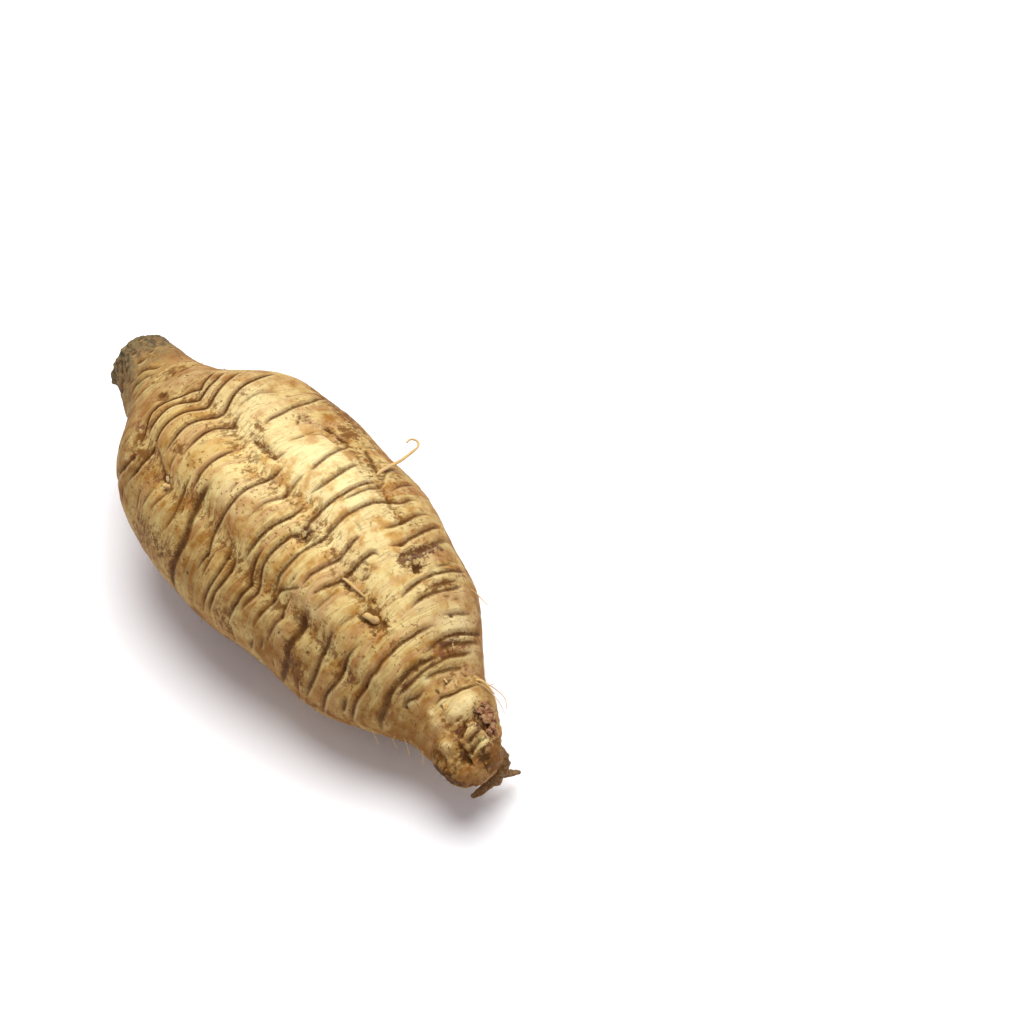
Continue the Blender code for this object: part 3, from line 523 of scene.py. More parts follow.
# Flakes of bark that lift off the skin: the place, the turn, the length, the width, how far
# they are turned on the skin and how far they lift, in degrees. Past a turn they are dark.
FLAKES = (
    (-79.0, 63.0, 6.5, 1.6, 6.0, 16.0),
    (-70.5, 62.0, 6.0, 2.4, -12.0, 14.0),
    (-86.0, 64.0, 4.0, 1.4, 10.0, 18.0),
    (-44.6, -44.4, 2.6, 1.2, 40.0, 24.0),
    (13.4, -18.2, 3.0, 1.3, 20.0, 20.0),
    (74.2, 24.5, 2.6, 1.2, 80.0, 22.0),
    (85.0, 12.0, 2.8, 1.4, 60.0, 20.0),
    (82.5, 2.0, 2.4, 1.2, 100.0, 22.0),
    (90.0, -15.0, 2.6, 1.6, 30.0, 24.0),
    (-30.0, 100.0, 4.0, 1.6, 15.0, 18.0),
    (12.0, 150.0, 3.6, 1.6, 70.0, 20.0),
    (44.0, 96.0, 4.4, 1.5, -10.0, 20.0),
    (-64.0, 140.0, 4.6, 1.8, 5.0, 16.0),
)
FLAKE_THICK = 0.35
DARK_FLAKES = 60

# The tail that hooks away under the tip: its points and its thickness at each.
TAIL_PATH = (
    (102.0, 3.0, 29.0),
    (106.5, 7.4, 25.5),
    (109.2, 7.6, 19.5),
    (110.2, 4.8, 14.5),
    (108.8, -0.2, 9.5),
    (107.0, -5.8, 5.8),
)
TAIL_THICK = (5.0, 5.0, 4.8, 4.4, 3.6, 2.2)

# The short branch that the tail bears, in the same way.
TAIL_BRANCH = ((108.8, 4.8, 15.0), (110.4, 8.2, 12.4), (111.2, 11.6, 10.6), (111.8, 13.6, 9.8))
TAIL_BRANCH_THICK = (3.0, 3.0, 2.4, 1.6)

# Burrs clustered beside the tip: the place, the turn and the radius.
BURRS = (
    (100.5, 31.0, 2.8), (98.0, 38.0, 2.4), (103.5, 40.0, 2.3), (97.5, 26.0, 1.8),
    (101.5, 48.0, 2.2), (104.8, 31.0, 1.7), (98.6, 49.0, 1.7), (95.6, 34.0, 1.4), (105.4, 50.0, 1.7),
)

# The camera of a small product photo, and the studio round it, in millimetres and degrees.
# A lamp has its name, its place, its breadth and its power in watts.
CAMERA_PLACE = (478.76, -286.57, 835.5)
CAMERA_TURN = (36.0, 0.0, 51.06)
LENS = 85.0
SENSOR = 36.0
FLOOR_SIZE = 6000.0
LAMPS = (
    ("key_light", (-236.0, 345.0, 1560.0), 1250.0, 30.6),
)
SKY_STRENGTH = 0.4
SKY_COLOUR = "#FBF6FF"


def linear(colour):
    """Linear red, green and blue of an sRGB hex colour."""
    parts = [int(colour[k : k + 2], 16) / 255 for k in (1, 3, 5)]
    return tuple(part / 12.92 if part <= 0.04045 else ((part + 0.055) / 1.055) ** 2.4 for part in parts)


def length_setting(name, description, size):
    """A length that the user can change, given in millimetres."""
    return bpy.props.FloatProperty(
        name=name, description=description, default=size * MM, min=0.0, precision=4,
        subtype="DISTANCE", unit="LENGTH",
    )


def colour_setting(name, description, colour):
    """A colour that the user can change, given as sRGB hex."""
    return bpy.props.FloatVectorProperty(
        name=name, description=description, default=linear(colour), min=0.0, max=1.0, size=3,
        subtype="COLOR",
    )


class KudzuSizes(bpy.types.PropertyGroup):
    columns: bpy.props.IntProperty(
        name="Columns", description="Faces round the root", default=192, min=24, max=240)
    rows: bpy.props.IntProperty(
        name="Rows", description="Faces along the root", default=506, min=60, max=600)
    crack_depth: length_setting("Crack depth", "How deep the growth rings crack", 0.38)
    lip_height: length_setting("Lip height", "How far the lip of a crack stands up", 0.13)
    collar_swell: length_setting("Collar swell", "How far the skin swells between cracks", 0.34)
    wrinkle_height: length_setting("Wrinkle height", "Height of the fine wrinkles", 0.12)
    pit_depth: length_setting("Pit depth", "How deep the dark pits are", 0.8)


class KudzuColours(bpy.types.PropertyGroup):
    cream: colour_setting("Cream", "The palest skin", "#EEDA94")
    tan: colour_setting("Tan", "The usual skin", "#D8AE60")
    # Painted shade in an earthy brown, laid on the flanks and ends away from the top
    flank_shade: colour_setting("Earth", "Unrubbed skin of the flanks and ends", "#81531C")
    ochre: colour_setting("Ochre", "The warmest skin", "#AE7529")
    rose: colour_setting("Rose", "Strips of pinkish skin between the rings", "#C99A6C")
    crack: colour_setting("Crack", "Dry soil and dark cork in the cracks", "#56340F")
    # Brown also serves as painted shade beside the cracks, in the furrows and along the lower side.
    brown: colour_setting("Brown stain", "Stains round pits and stumps", "#704516")
    reddish: colour_setting("Red-brown stain", "Stains of bruised bark", "#7E4A30")
    purple: colour_setting("Purple stain", "Stains in the deep folds", "#5F3A2E")
    soil: colour_setting("Soil", "Dark soil left in the clefts of the tip", "#45290F")
    olive: colour_setting("Olive stain", "Faint green of the thinnest bark", "#8E8450")
    # Pale also serves as painted highlight on the top, on one lip of each crack and on the +Y side of the
    # tip half.
    pale: colour_setting("Pale patch", "Bark rubbed thin on the crests", "#F2E1A6")
    wood: colour_setting("Cut wood", "Fibrous wood of the old cut, gone grey", "#94805C")
    neck: colour_setting("Neck", "Weathered bark by the cut", "#766444")
    grime: colour_setting("Grime", "Grey soil and mould left by the cut", "#3F382A")
    tail: colour_setting("Tail", "Dark bark of the tail", "#846C4A")
    burr: colour_setting("Burr", "Grey-pink burrs", "#AC8A62")
    rootlet: colour_setting("Rootlet", "Thin, bare rootlets", "#CDB084")
    floor: colour_setting("Floor", "The studio's paper", "#FFFFFF")


def smooth_between(places, values, at):
    """Reads, at the points at, a smooth curve that runs through values at places."""
    slopes = np.gradient(values, places)
    at = np.clip(at, places[0], places[-1])
    step = np.clip(np.searchsorted(places, at, side="right") - 1, 0, len(places) - 2)
    span = places[step + 1] - places[step]
    t = (at - places[step]) / span
    start = values[step] * (1 + 2 * t) + slopes[step] * span * t
    end = values[step + 1] * (3 - 2 * t) + slopes[step + 1] * span * (t - 1)
    return start * (1 - t) ** 2 + end * t**2


def smooth_line(points, steps):
    """A smooth line through the points, in that many steps from each to the next."""
    points = np.array(points, dtype=float)
    whole = np.arange(len(points), dtype=float)
    at = np.arange((len(points) - 1) * steps + 1) / steps
    return np.stack([smooth_between(whole, column, at) for column in points.T], axis=-1)


def apart(turn, other):
    """Difference of two turns, in degrees, from -180 to 180."""
    return (turn - other + 180.0) % 360.0 - 180.0


def bell(offset, reach):
    """1 at no offset, falling smoothly to almost nothing at twice the reach."""
    return np.exp(-((offset / reach) ** 2))


def waves(along, turn, longest, count, seed):
    """Slow bumps of a height near 1 all over the skin, from sines with seeded courses."""
    draw = np.random.default_rng(seed)
    total = np.zeros(np.broadcast(along, turn).shape)
    for _ in range(count):
        around = draw.integers(1, 6) * draw.choice((-1, 1))
        length = longest * draw.uniform(0.45, 1.0)
        shift = draw.uniform(0, 2 * math.pi)
        total += np.sin(2 * math.pi * along / length + around * np.radians(turn) + shift)
    return total / math.sqrt(count)


def furrow_share(along, turn, furrow):
    """How much of a furrow's depth each point has, from 0 to 1."""
    start, end, first_turn, last_turn, _, width, _ = furrow
    middle = np.interp(along, (start, end), (first_turn, last_turn))
    middle = middle + FURROW_SWAY * np.sin(along / 9.0 + first_turn)
    ends = np.clip((along - start) / FURROW_ENDS, 0, 1) * np.clip((end - along) / FURROW_ENDS, 0, 1)
    return bell(apart(turn, middle), width) * ends


def ring_drift(along, turn):
    """How far towards the tip the growth rings run at each turn."""
    height, longest, count = RING_WAVES
    drift = height * waves(along, turn, longest, count, SEED)
    for furrow in FURROWS:
        drift = drift + furrow[6] * furrow_share(along, turn, furrow)
    return drift * np.interp(along, WAVER_PLACES, WAVER_SHARES)


def spot_offset(along, turn, radius, place, spot_turn, half_length, half_broad):
    """How far points of the skin lie from the middle of an oval spot, 1 being its edge."""
    around = np.radians(apart(turn, spot_turn)) * np.maximum(radius, SMALLEST_GIRTH)
    return np.hypot((along - place) / half_length, around / half_broad)


def form_relief(along, turn, radius):
    """The lumps, dimples, furrows and slow waves of the root's form."""
    height, longest, count = SKIN_WAVES
    relief = height * waves(along, turn, longest, count, SEED + 1)
    for place, lump_turn, lump, *halves in LUMPS:
        relief = relief + lump * bell(spot_offset(along, turn, radius, place, lump_turn, *halves), 1.0)
    for furrow in FURROWS:
        relief = relief - furrow[4] * furrow_share(along, turn, furrow)
    return relief


def tip_relief(along, turn, radius):
    """The small knobs and clefts of the tip."""
    relief = np.zeros(along.shape)
    for place, lump_turn, lump, *halves in TIP_DETAIL:
        relief += lump * bell(spot_offset(along, turn, radius, place, lump_turn, *halves), 1.0)
    return relief


def half_width(along):
    """Half the root's width at places along it."""
    stations = np.array(STATIONS).T
    return smooth_between(stations[0], stations[1], np.minimum(along, TIP_START))


def skin_point(along, turn, relief, share=1.0):
    """Points of the skin, with its relief, at a share of the full width."""
    places, radii, sides, heights = np.array(STATIONS).T
    read = np.minimum(along, TIP_START)
    calm_place, calm_length, calm_turn = REST_CALM
    lively = 1 - bell((along - calm_place) / calm_length, 1.0) * bell(apart(turn, 180.0), calm_turn)
    reach = (smooth_between(places, radii, read) + relief * lively) * share
    side = smooth_between(places, sides, read) + reach * np.sin(np.radians(turn))
    rise = smooth_between(places, heights, read) + HEIGHT_SHARE * reach * np.cos(np.radians(turn))
    return np.stack([along, side, rise - REST_PRESS], axis=-1)


def skin_frame(place, turn):
    """A point on the skin, and the ways out of it, to the tip and round the root there."""
    step = 0.5
    along = np.array([place, place + step, place])
    turns = np.array([turn, turn, turn + step])
    grid = skin_point(along, turns, form_relief(along, turns, half_width(along)))
    here, further, beside = (Vector(point) for point in grid)
    forward = (further - here).normalized()
    out = forward.cross(beside - here).normalized()
    return here, out, forward, out.cross(forward)


def beside_crease(points):
    """Whether any of the points lies so close to a listed crack that it would blur it."""
    for _, _, *course in CREASES:
        places, turns = np.array(sorted(course, key=lambda point: point[1])).T
        for place, turn in points:
            if turns[0] < turn < turns[-1] and abs(np.interp(turn, turns, places) - place) < CLEAR_OF_CRACK:
                return True
    return False


def back_creases():
    """Cracks of the side away from the camera, and short ones all round, drawn by a seeded rule."""
    draw = np.random.default_rng(SEED + 5)
    first, last = BACK_TURNS
    creases = []
    place = NECK_END + 5.0
    while place < TIP_START - 4.0:
        turn = first + draw.uniform(0, 40)
        while turn < last - 12:
            end = min(turn + draw.uniform(*BACK_RUN), last)
            turns = np.linspace(turn, end, max(3, int((end - turn) / 9)))
            wander = np.cumsum(draw.normal(0, BACK_WANDER, len(turns)))
            course = place + draw.uniform(-1, 1) + wander - wander.mean()
            drift = ring_drift(np.full(len(turns), place), turns)
            points = zip(course + drift, turns)
            creases.append((draw.uniform(*BACK_WIDTH), draw.uniform(*BACK_DARK), *points))
            turn = end + draw.uniform(*BACK_REST)
        place += draw.uniform(*BACK_GAP)
    for _ in range(SHORT_CRACKS):
        place, turn = draw.uniform(NECK_END + 10, TIP_START - 6), draw.uniform(-180, 180)
        run = draw.uniform(*SHORT_RUN)
        lean = draw.normal(0, SHORT_LEAN)
        points = [(place + lean * step + draw.normal(0, SHORT_WANDER), turn + run * step)
                  for step in (0, 0.5, 1)]
        crease = (draw.uniform(*SHORT_WIDTH), draw.uniform(*SHORT_DARK), *points)
        if not beside_crease(points):
            creases.append(crease)
    return creases


def line_distance(line, along, turn, radius):
    """How far points of the skin lie from a line on it, less than 0 on its neck side.

    Gives that, the share of the line's length there, and how squarely the line crosses X.
    """
    start, step = line[:-1], np.diff(line, axis=0)
    scale = np.radians(radius)[:, None]
    run, lift = step[None, :, 0], step[None, :, 1] * scale
    ahead = along[:, None] - start[None, :, 0]
    beside = apart(turn[:, None], start[None, :, 1]) * scale
    length = np.hypot(run, lift)
    share = np.clip((ahead * run + beside * lift) / length**2, 0, 1)
    away = np.hypot(ahead - share * run, beside - share * lift)
    pick = np.arange(len(along)), away.argmin(axis=1)
    side = np.where((ahead * lift - beside * run)[pick] * np.sign(lift[pick]) < 0, -1.0, 1.0)
    square = np.abs(lift)[pick] / length[pick]
    return away[pick] * side, (pick[1] + share[pick]) / len(step), square


def lay_cracks(along, turn, radius):
    """The nearest crack of each point: how far it is, its half width, darkness and squareness.

    Gives also how fully it shows there, and the distance without its sign.
    """
    nearest = np.full(along.shape, FAR)
    second = np.full(along.shape, FAR)
    away, half, dark, square = (np.zeros(along.shape) for _ in range(4))
    away += FAR
    half += USUAL_HALF
    reach, reach_turn = PAST_ENDS
    for width, darkness, *points in list(CREASES) + back_creases():
        line = smooth_line(points, CREASE_STEPS)
        middle = (line[:, 1].min() + line[:, 1].max()) / 2
        spread = (line[:, 1].max() - line[:, 1].min()) / 2 + reach_turn
        near = np.flatnonzero(
            (along > line[:, 0].min() - reach) & (along < line[:, 0].max() + reach)
            & (np.abs(apart(turn, middle)) < spread)
        )
        distance, part, crossing = line_distance(line, along[near], turn[near], radius[near])
        ends = np.clip(np.minimum(part, 1 - part) * len(points) / 1.2, 0, 1)
        size = np.abs(distance)
        closer = size < nearest[near]
        second[near] = np.where(closer, nearest[near], np.minimum(second[near], size))
        taken = near[closer]
        nearest[taken] = size[closer]
        away[taken] = distance[closer]
        half[taken] = width / 2 * (0.45 + 0.55 * ends[closer])
        dark[taken] = darkness * ends[closer] ** 0.6
        square[taken] = crossing[closer]
    apart_share = np.clip((second - nearest - CRACK_GAP[0]) / CRACK_GAP[1], 0, 1)
    reach_share = np.clip((CRACK_REACH - nearest) / CRACK_FADE, 0, 1)
    return away, half, dark, square, apart_share * reach_share, nearest


def lay_pits(along, turn, radius):
    """How deep in a pit each point is, from 0 at its rim to 1 in its middle, by its darkness."""
    pit = np.zeros(along.shape) - 1.0
    for *spot, dark in PITS:
        off = spot_offset(along, turn, radius, *spot)
        pit = np.maximum(pit, np.where(off < 2, dark * (1 - off), -1.0))
    return pit


def lay_stains(kind, along, turn, radius):
    """How strongly each point is stained that way."""
    stain = np.zeros(along.shape)
    for name, *spot, strength in STAINS:
        if name == kind:
            stain = np.maximum(stain, strength * bell(spot_offset(along, turn, radius, *spot), 1.0))
    return stain


def area_share(along, turn, area):
    """How far inside an area each point lies, from 0 outside it to 1 in its middle."""
    place, middle, half_length, half_turn = area
    return bell(np.hypot((along - place) / half_length, apart(turn, middle) / half_turn), 1.0)


def fine_relief(points, height):
    """Fine wrinkles that run round the root, and small dents, as heights."""
    stretch = Vector((1 / 2.1, 1 / 9.0, 1 / 9.0))
    wrinkles = [noise.fractal(Vector(point) * stretch, 0.9, 2.1, 3) for point in points]
    dents = [noise.noise(Vector(point) / 4.3) for point in points]
    return height * (np.array(wrinkles) + 0.9 * np.array(dents))


def clear_selection():
    """Nothing is selected, so that an operator acts only on what is added next."""
    if bpy.context.object and bpy.context.object.mode != "OBJECT":
        bpy.ops.object.mode_set(mode="OBJECT")
    bpy.ops.object.select_all(action="DESELECT")


def add_ball(name, columns, rows):
    """Adds a ball: the object, the row of each of its points, and the turn of each in degrees."""
    clear_selection()
    bpy.ops.mesh.primitive_uv_sphere_add(segments=columns, ring_count=rows, radius=1.0)
    ball = bpy.context.object
    ball.name = ball.data.name = name
    points = np.empty(len(ball.data.vertices) * 3)
    ball.data.vertices.foreach_get("co", points)
    x, y, z = points.reshape(-1, 3).T
    row = np.rint(np.arctan2(np.hypot(x, y), z) / math.pi * rows).astype(int)
    return ball, row, np.degrees(np.arctan2(y, x))


def set_points(thing, points):
    """Moves a mesh's points to places given in millimetres, and shades it smooth."""
    thing.data.vertices.foreach_set("co", (np.asarray(points) * MM).ravel())
    thing.data.update()
    clear_selection()
    thing.select_set(True)
    bpy.context.view_layer.objects.active = thing
    bpy.ops.object.shade_smooth()


def set_values(thing, name, values):
    """Stores a number at each point of a mesh, for its material to read."""
    made = thing.data.attributes.new(name, "FLOAT", "POINT")
    made.data.foreach_set("value", np.asarray(values, dtype=np.float32))


def set_places(thing, name, places):
    """Stores a place, given in millimetres, at each point of a mesh, for its material to read."""
    made = thing.data.attributes.new(name, "FLOAT_VECTOR", "POINT")
    made.data.foreach_set("vector", (places * MM).astype(np.float32).ravel())


def dress(thing, material):
    """Gives a piece its material, and sets it under its body."""
    thing.data.materials.clear()
    thing.data.materials.append(material)
    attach(thing, BODY)
    return thing


def skin_rows(rows):
    """Each row's place and share of the width, from the cut face to the end of the tip."""
    cut = np.array(CUT_FACE)
    inward = np.linspace(0, 1, CUT_ROWS)
    cut_places = NECK_END + np.interp(inward, cut[:, 1], cut[:, 0])
    body = np.linspace(NECK_END, TIP_START, rows + 1 - CUT_ROWS - CAP_ROWS + 1)[1:]
    lean = np.linspace(0, math.pi / 2, CAP_ROWS + 1)[1:]
    places = np.concatenate([cut_places, body, TIP_START + TIP_CAP * np.sin(lean)])
    shares = np.concatenate([inward, np.ones(len(body)), np.cos(lean)])
    return places, shares


def make_skin(settings):
    """The whole skin of the root as one closed piece, with its cracks, pits and stains, and the masks of
    its painted shade and highlight.
    """
    skin, row, around = add_ball("root_skin", settings.columns, settings.rows)
    places, shares = skin_rows(settings.rows)
    share = shares[row]
    front, draw_in = FRONT
    turn = np.degrees(np.radians(around) - draw_in * np.sin(np.radians(around) - math.radians(front)))
    along = places[row] + ring_drift(places[row], turn) * share
    radius = half_width(along) * np.maximum(share, 0.3)

    # Rows are drawn towards the cracks first, so that a narrow crack has points enough
    away, _, _, square, near, _ = lay_cracks(along, turn, radius)
    pull = np.where(np.abs(away) < 3, CRACK_PULL * bell(away, 1.0) * near * square**2, 0.0)
    on_side = (share > 0.999) & (along < TIP_START - 1)
    along = along - np.where(on_side, away * pull, 0.0)
    away, half, dark, _, near, nearest = lay_cracks(along, turn, radius)

    across = np.clip(away / half, -8, 8)
    shown = dark * near
    deep = np.clip(half / USUAL_HALF, 0.8, 2.2)
    relief = form_relief(along, turn, half_width(along)) + tip_relief(along, turn, half_width(along))
    relief -= settings.crack_depth / MM * shown * deep * np.exp(-0.7 * across**2)
    lip_place, lip_broad = LIP
    relief += settings.lip_height / MM * shown * bell(across - lip_place, lip_broad)
    swell = np.minimum(nearest, COLLAR) / COLLAR
    relief += settings.collar_swell / MM * (np.sqrt(swell) - 0.6)
    pit = lay_pits(along, turn, radius)
    relief -= settings.pit_depth / MM * np.clip(pit + 0.15, 0, 1)
    rough = skin_point(along, turn, relief, share)
    relief += fine_relief(rough, settings.wrinkle_height / MM)
    height, size, start, full = GNARL
    gnarled = np.clip((along - start) / (full - start), 0, 1)
    knots = [noise.fractal(Vector(point) / size, 0.9, 2.1, 3) if x > start else 0.0
             for point, x in zip(rough, along)]
    relief += height * gnarled * np.array(knots)
    height, size, reach = TORN_RIM
    torn = [noise.fractal(Vector(point) / size, 0.8, 2.2, 3) for point in rough]
    relief += height * bell(along - NECK_END, reach) * np.array(torn) * share
    points = skin_point(along, turn, relief, share)
    points[:, 2] = np.maximum(points[:, 2], 0.0)
    saw_marks = SAW_MARKS * waves(share * 60, turn * 3, 20.0, 6, SEED + 4) * share
    points[:, 0] -= np.where(share < 0.9, saw_marks, 0)
    set_points(skin, points)

    bark = points.copy()
    bark[:, 0] = along - ring_drift(along, turn) * share
    set_places(skin, "bark_place", bark)
    set_values(skin, "crack_across", across)
    set_values(skin, "crack_dark", shown)
    set_values(skin, "pit", pit)
    neck_start, neck_fade = NECK_BARK
    set_values(skin, "neck", np.clip((neck_start - along) / neck_fade, 0, 1))
    set_values(skin, "cut", (share < CUT_SHARE) & (along < 0))
    set_values(skin, "cut_reach", np.where(along < 0, share, 0))
    # Where painted shade darkens the flanks and ends, and where a painted highlight lightens the top
    set_values(skin, "flank_shade", 1 - area_share(along, turn, UNSHADED_TOP))
    set_values(skin, "top_highlight", area_share(along, turn, HIGHLIGHT_TOP))
    # Painted shade in the furrows, laid with the brown stain
    furrows = sum(furrow_share(along, turn, furrow) for furrow in FURROWS) * FURROW_SHADE
    for kind in STAIN_KINDS:
        stain = lay_stains(kind, along, turn, radius)
        set_values(skin, kind, np.maximum(stain, furrows) if kind == "brown" else stain)
    return skin


def make_strand(name, path, thicks, sides, knobbly=0.0):
    """A thin root through the points of a path, closed and rounded at both ends."""
    steps = 6
    path = smooth_line(path, steps)
    thicks = smooth_line([(thick, thick) for thick in thicks], steps)[:, 0]
    # A strand that meets the floor lies on it, at its full thickness
    path[:, 2] = np.maximum(path[:, 2], thicks / 2)
    rows = len(path) + 3
    strand, row, turn = add_ball(name, sides, rows)
    reach = np.clip((row - 2) / (rows - 4), 0, 1) * (len(path) - 1)
    low = np.minimum(reach.astype(int), len(path) - 2)
    part = (reach - low)[:, None]
    middle = path[low] * (1 - part) + path[low + 1] * part
    ahead = np.gradient(path, axis=0)
    ahead = ahead / np.linalg.norm(ahead, axis=1)[:, None]
    across = [Vector(ahead[0]).orthogonal().normalized()]
    for way in ahead[1:]:
        kept = across[-1] - Vector(way) * across[-1].dot(Vector(way))
        across.append(kept.normalized())
    across = np.array(across)
    beside = np.cross(across, ahead)
    round_off = np.interp(np.minimum(row, rows - row), (0, 1, 2), (0.0, 0.72, 1.0))
    radius = np.interp(reach, np.arange(len(thicks)), thicks) / 2 * round_off
    if knobbly:
        bumps = [noise.noise(Vector(point) * 0.55 + Vector((0.3 * t / 40, 0, t / 90)))
                 for point, t in zip(middle, turn)]
        radius = radius * (1 + knobbly * np.array(bumps))
    at = np.clip(np.rint(reach).astype(int), 0, len(path) - 1)
    cos, sin = np.cos(np.radians(turn))[:, None], np.sin(np.radians(turn))[:, None]
    cap = (np.interp(row, (0, 1, 2), (-0.8, -0.5, 0)) + np.interp(rows - row, (0, 1, 2), (0.8, 0.5, 0)))
    points = middle + radius[:, None] * (cos * across[at] + sin * beside[at])
    points = points + ahead[at] * (cap * np.interp(reach, np.arange(len(thicks)), thicks) / 2)[:, None]
    points[:, 2] = np.maximum(points[:, 2], 0.0)
    set_points(strand, points)
    return strand


def on_skin(point):
    """A point given by its place, its turn and its height over the skin."""
    place, turn, lift = point
    here, out, _, _ = skin_frame(place, turn)
    return here + out * lift


def make_burr(name, place, turn, radius):
    """A small rough burr, half sunk in the skin."""
    here, out, _, _ = skin_frame(place, turn)
    centre = here + out * radius * 0.1
    clear_selection()
    bpy.ops.mesh.primitive_ico_sphere_add(subdivisions=5, radius=radius * MM, location=centre * MM)
    bpy.ops.object.transform_apply(location=True, rotation=False, scale=False)
    burr = bpy.context.object
    burr.name = burr.data.name = name
    points = []
    for vertex in burr.data.vertices:
        way = (vertex.co / MM - centre).normalized()
        knobs = noise.turbulence(way * 1.1 + centre * 0.21, 2, False)
        points.append(centre + way * radius * (0.78 + 0.4 * knobs))
    set_points(burr, points)
    return burr


def make_flake(name, place, turn, length, width, heading, lift):
    """A thin curled flake of bark, lowest along one edge.

    It is set 0.12 mm off the skin, so most flakes stand just clear of it and touch nothing.
    """
    here, out, _, around = skin_frame(place, turn)
    flake, row, spin = add_ball(name, 16, 10)
    down = row / 10 * math.pi
    x = np.sin(down) * np.cos(np.radians(spin))
    y = np.sin(down) * np.sin(np.radians(spin))
    ragged = 1 + 0.18 * np.sin(np.radians(spin) * 5 + length) + 0.1 * np.sin(np.radians(spin) * 9)
    span = Quaternion(out, math.radians(heading)) @ around
    cross = out.cross(span)
    rise = np.radians(lift) * width * (x + 1) / 2 + 0.08 * width * (1 + x) ** 2
    thick = FLAKE_THICK / 2 * np.cos(down)
    points = (
        np.array(here)
        + np.outer(y * ragged * length / 2, span)
        + np.outer(x * ragged * width / 2, cross)
        + np.outer(rise + thick + 0.12, out)
    )
    set_points(flake, points)
    # The flake's axes are a mirrored set, which turns its faces inwards, so they are turned back
    flake.data.flip_normals()
    return flake


def make_hairs():
    """Fine dry hairs scattered over the skin by a seeded rule: the path of each."""
    draw = np.random.default_rng(SEED + 9)
    paths = []
    for _ in range(HAIRS):
        place = draw.uniform(*HAIR_PLACES)
        turn = draw.uniform(*HAIR_TURNS)
        length = draw.uniform(*HAIR_LENGTH)
        lean, sway = draw.normal(0, 0.6, 2)
        path = [(place, turn, -0.5)]
        for part in (0.4, 0.75, 1.0):
            path.append((
                place + lean * length * part, turn + sway * length * part,
                length * part * (1 - 0.35 * part),
            ))
        paths.append(path)
    return paths


def add_node(tree, kind, inputs=(), **settings):
    """Adds a node with its settings, and gives each input its value or its link."""
    node = tree.nodes.new(kind)
    for name, value in settings.items():
        setattr(node, name, value)
    for key, value in dict(inputs).items():
        if isinstance(value, bpy.types.NodeSocket):
            tree.links.new(value, node.inputs[key])
        else:
            node.inputs[key].default_value = value
    return node


def new_material(name, roughness, specular=0.15):
    """A material with its shader, and with the piece's own coordinates."""
    material = bpy.data.materials.new(name)
    material.use_nodes = True
    tree = material.node_tree
    surface = tree.nodes["Principled BSDF"]
    surface.inputs["Roughness"].default_value = roughness
    surface.inputs["Metallic"].default_value = 0.0
    surface.inputs["IOR"].default_value = 1.45
    surface.inputs["Specular IOR Level"].default_value = specular
    place = add_node(tree, "ShaderNodeTexCoord").outputs["Object"]
    return material, tree, surface, place


def together(tree, operation, *parts):
    """One number from several: each is a number, an output, or an output that fades.

    A fade is the output, the values where it starts and ends, and what it gives at each.
    """
    found = []
    for part in parts:
        if isinstance(part, tuple):
            value, low, high, first, last = part if len(part) == 5 else (*part, 0.0, 1.0)
            fade = {"Value": value, "From Min": low, "From Max": high, "To Min": first, "To Max": last}
            part = add_node(tree, "ShaderNodeMapRange", fade, interpolation_type="SMOOTHSTEP").outputs[0]
        found.append(part)
    total = found[0]
    for part in found[1:]:
        total = add_node(tree, "ShaderNodeMath", {0: total, 1: part}, operation=operation).outputs[0]
    return total


def lay(tree, below, colour, *parts):
    """Lays a colour over what is below it, as thickly as its parts say, multiplied together."""
    share = together(tree, "MULTIPLY", *parts)
    sockets = dict(zip(MIX_INPUTS, (share, below, (*colour, 1.0))))
    return add_node(tree, "ShaderNodeMix", sockets, data_type="RGBA").outputs[MIX_OUTPUT]


def away_from(tree, value, middle):
    """How far a value lies from a given one, to either side."""
    off = together(tree, "SUBTRACT", value, middle)
    return add_node(tree, "ShaderNodeMath", {0: off}, operation="ABSOLUTE").outputs[0]


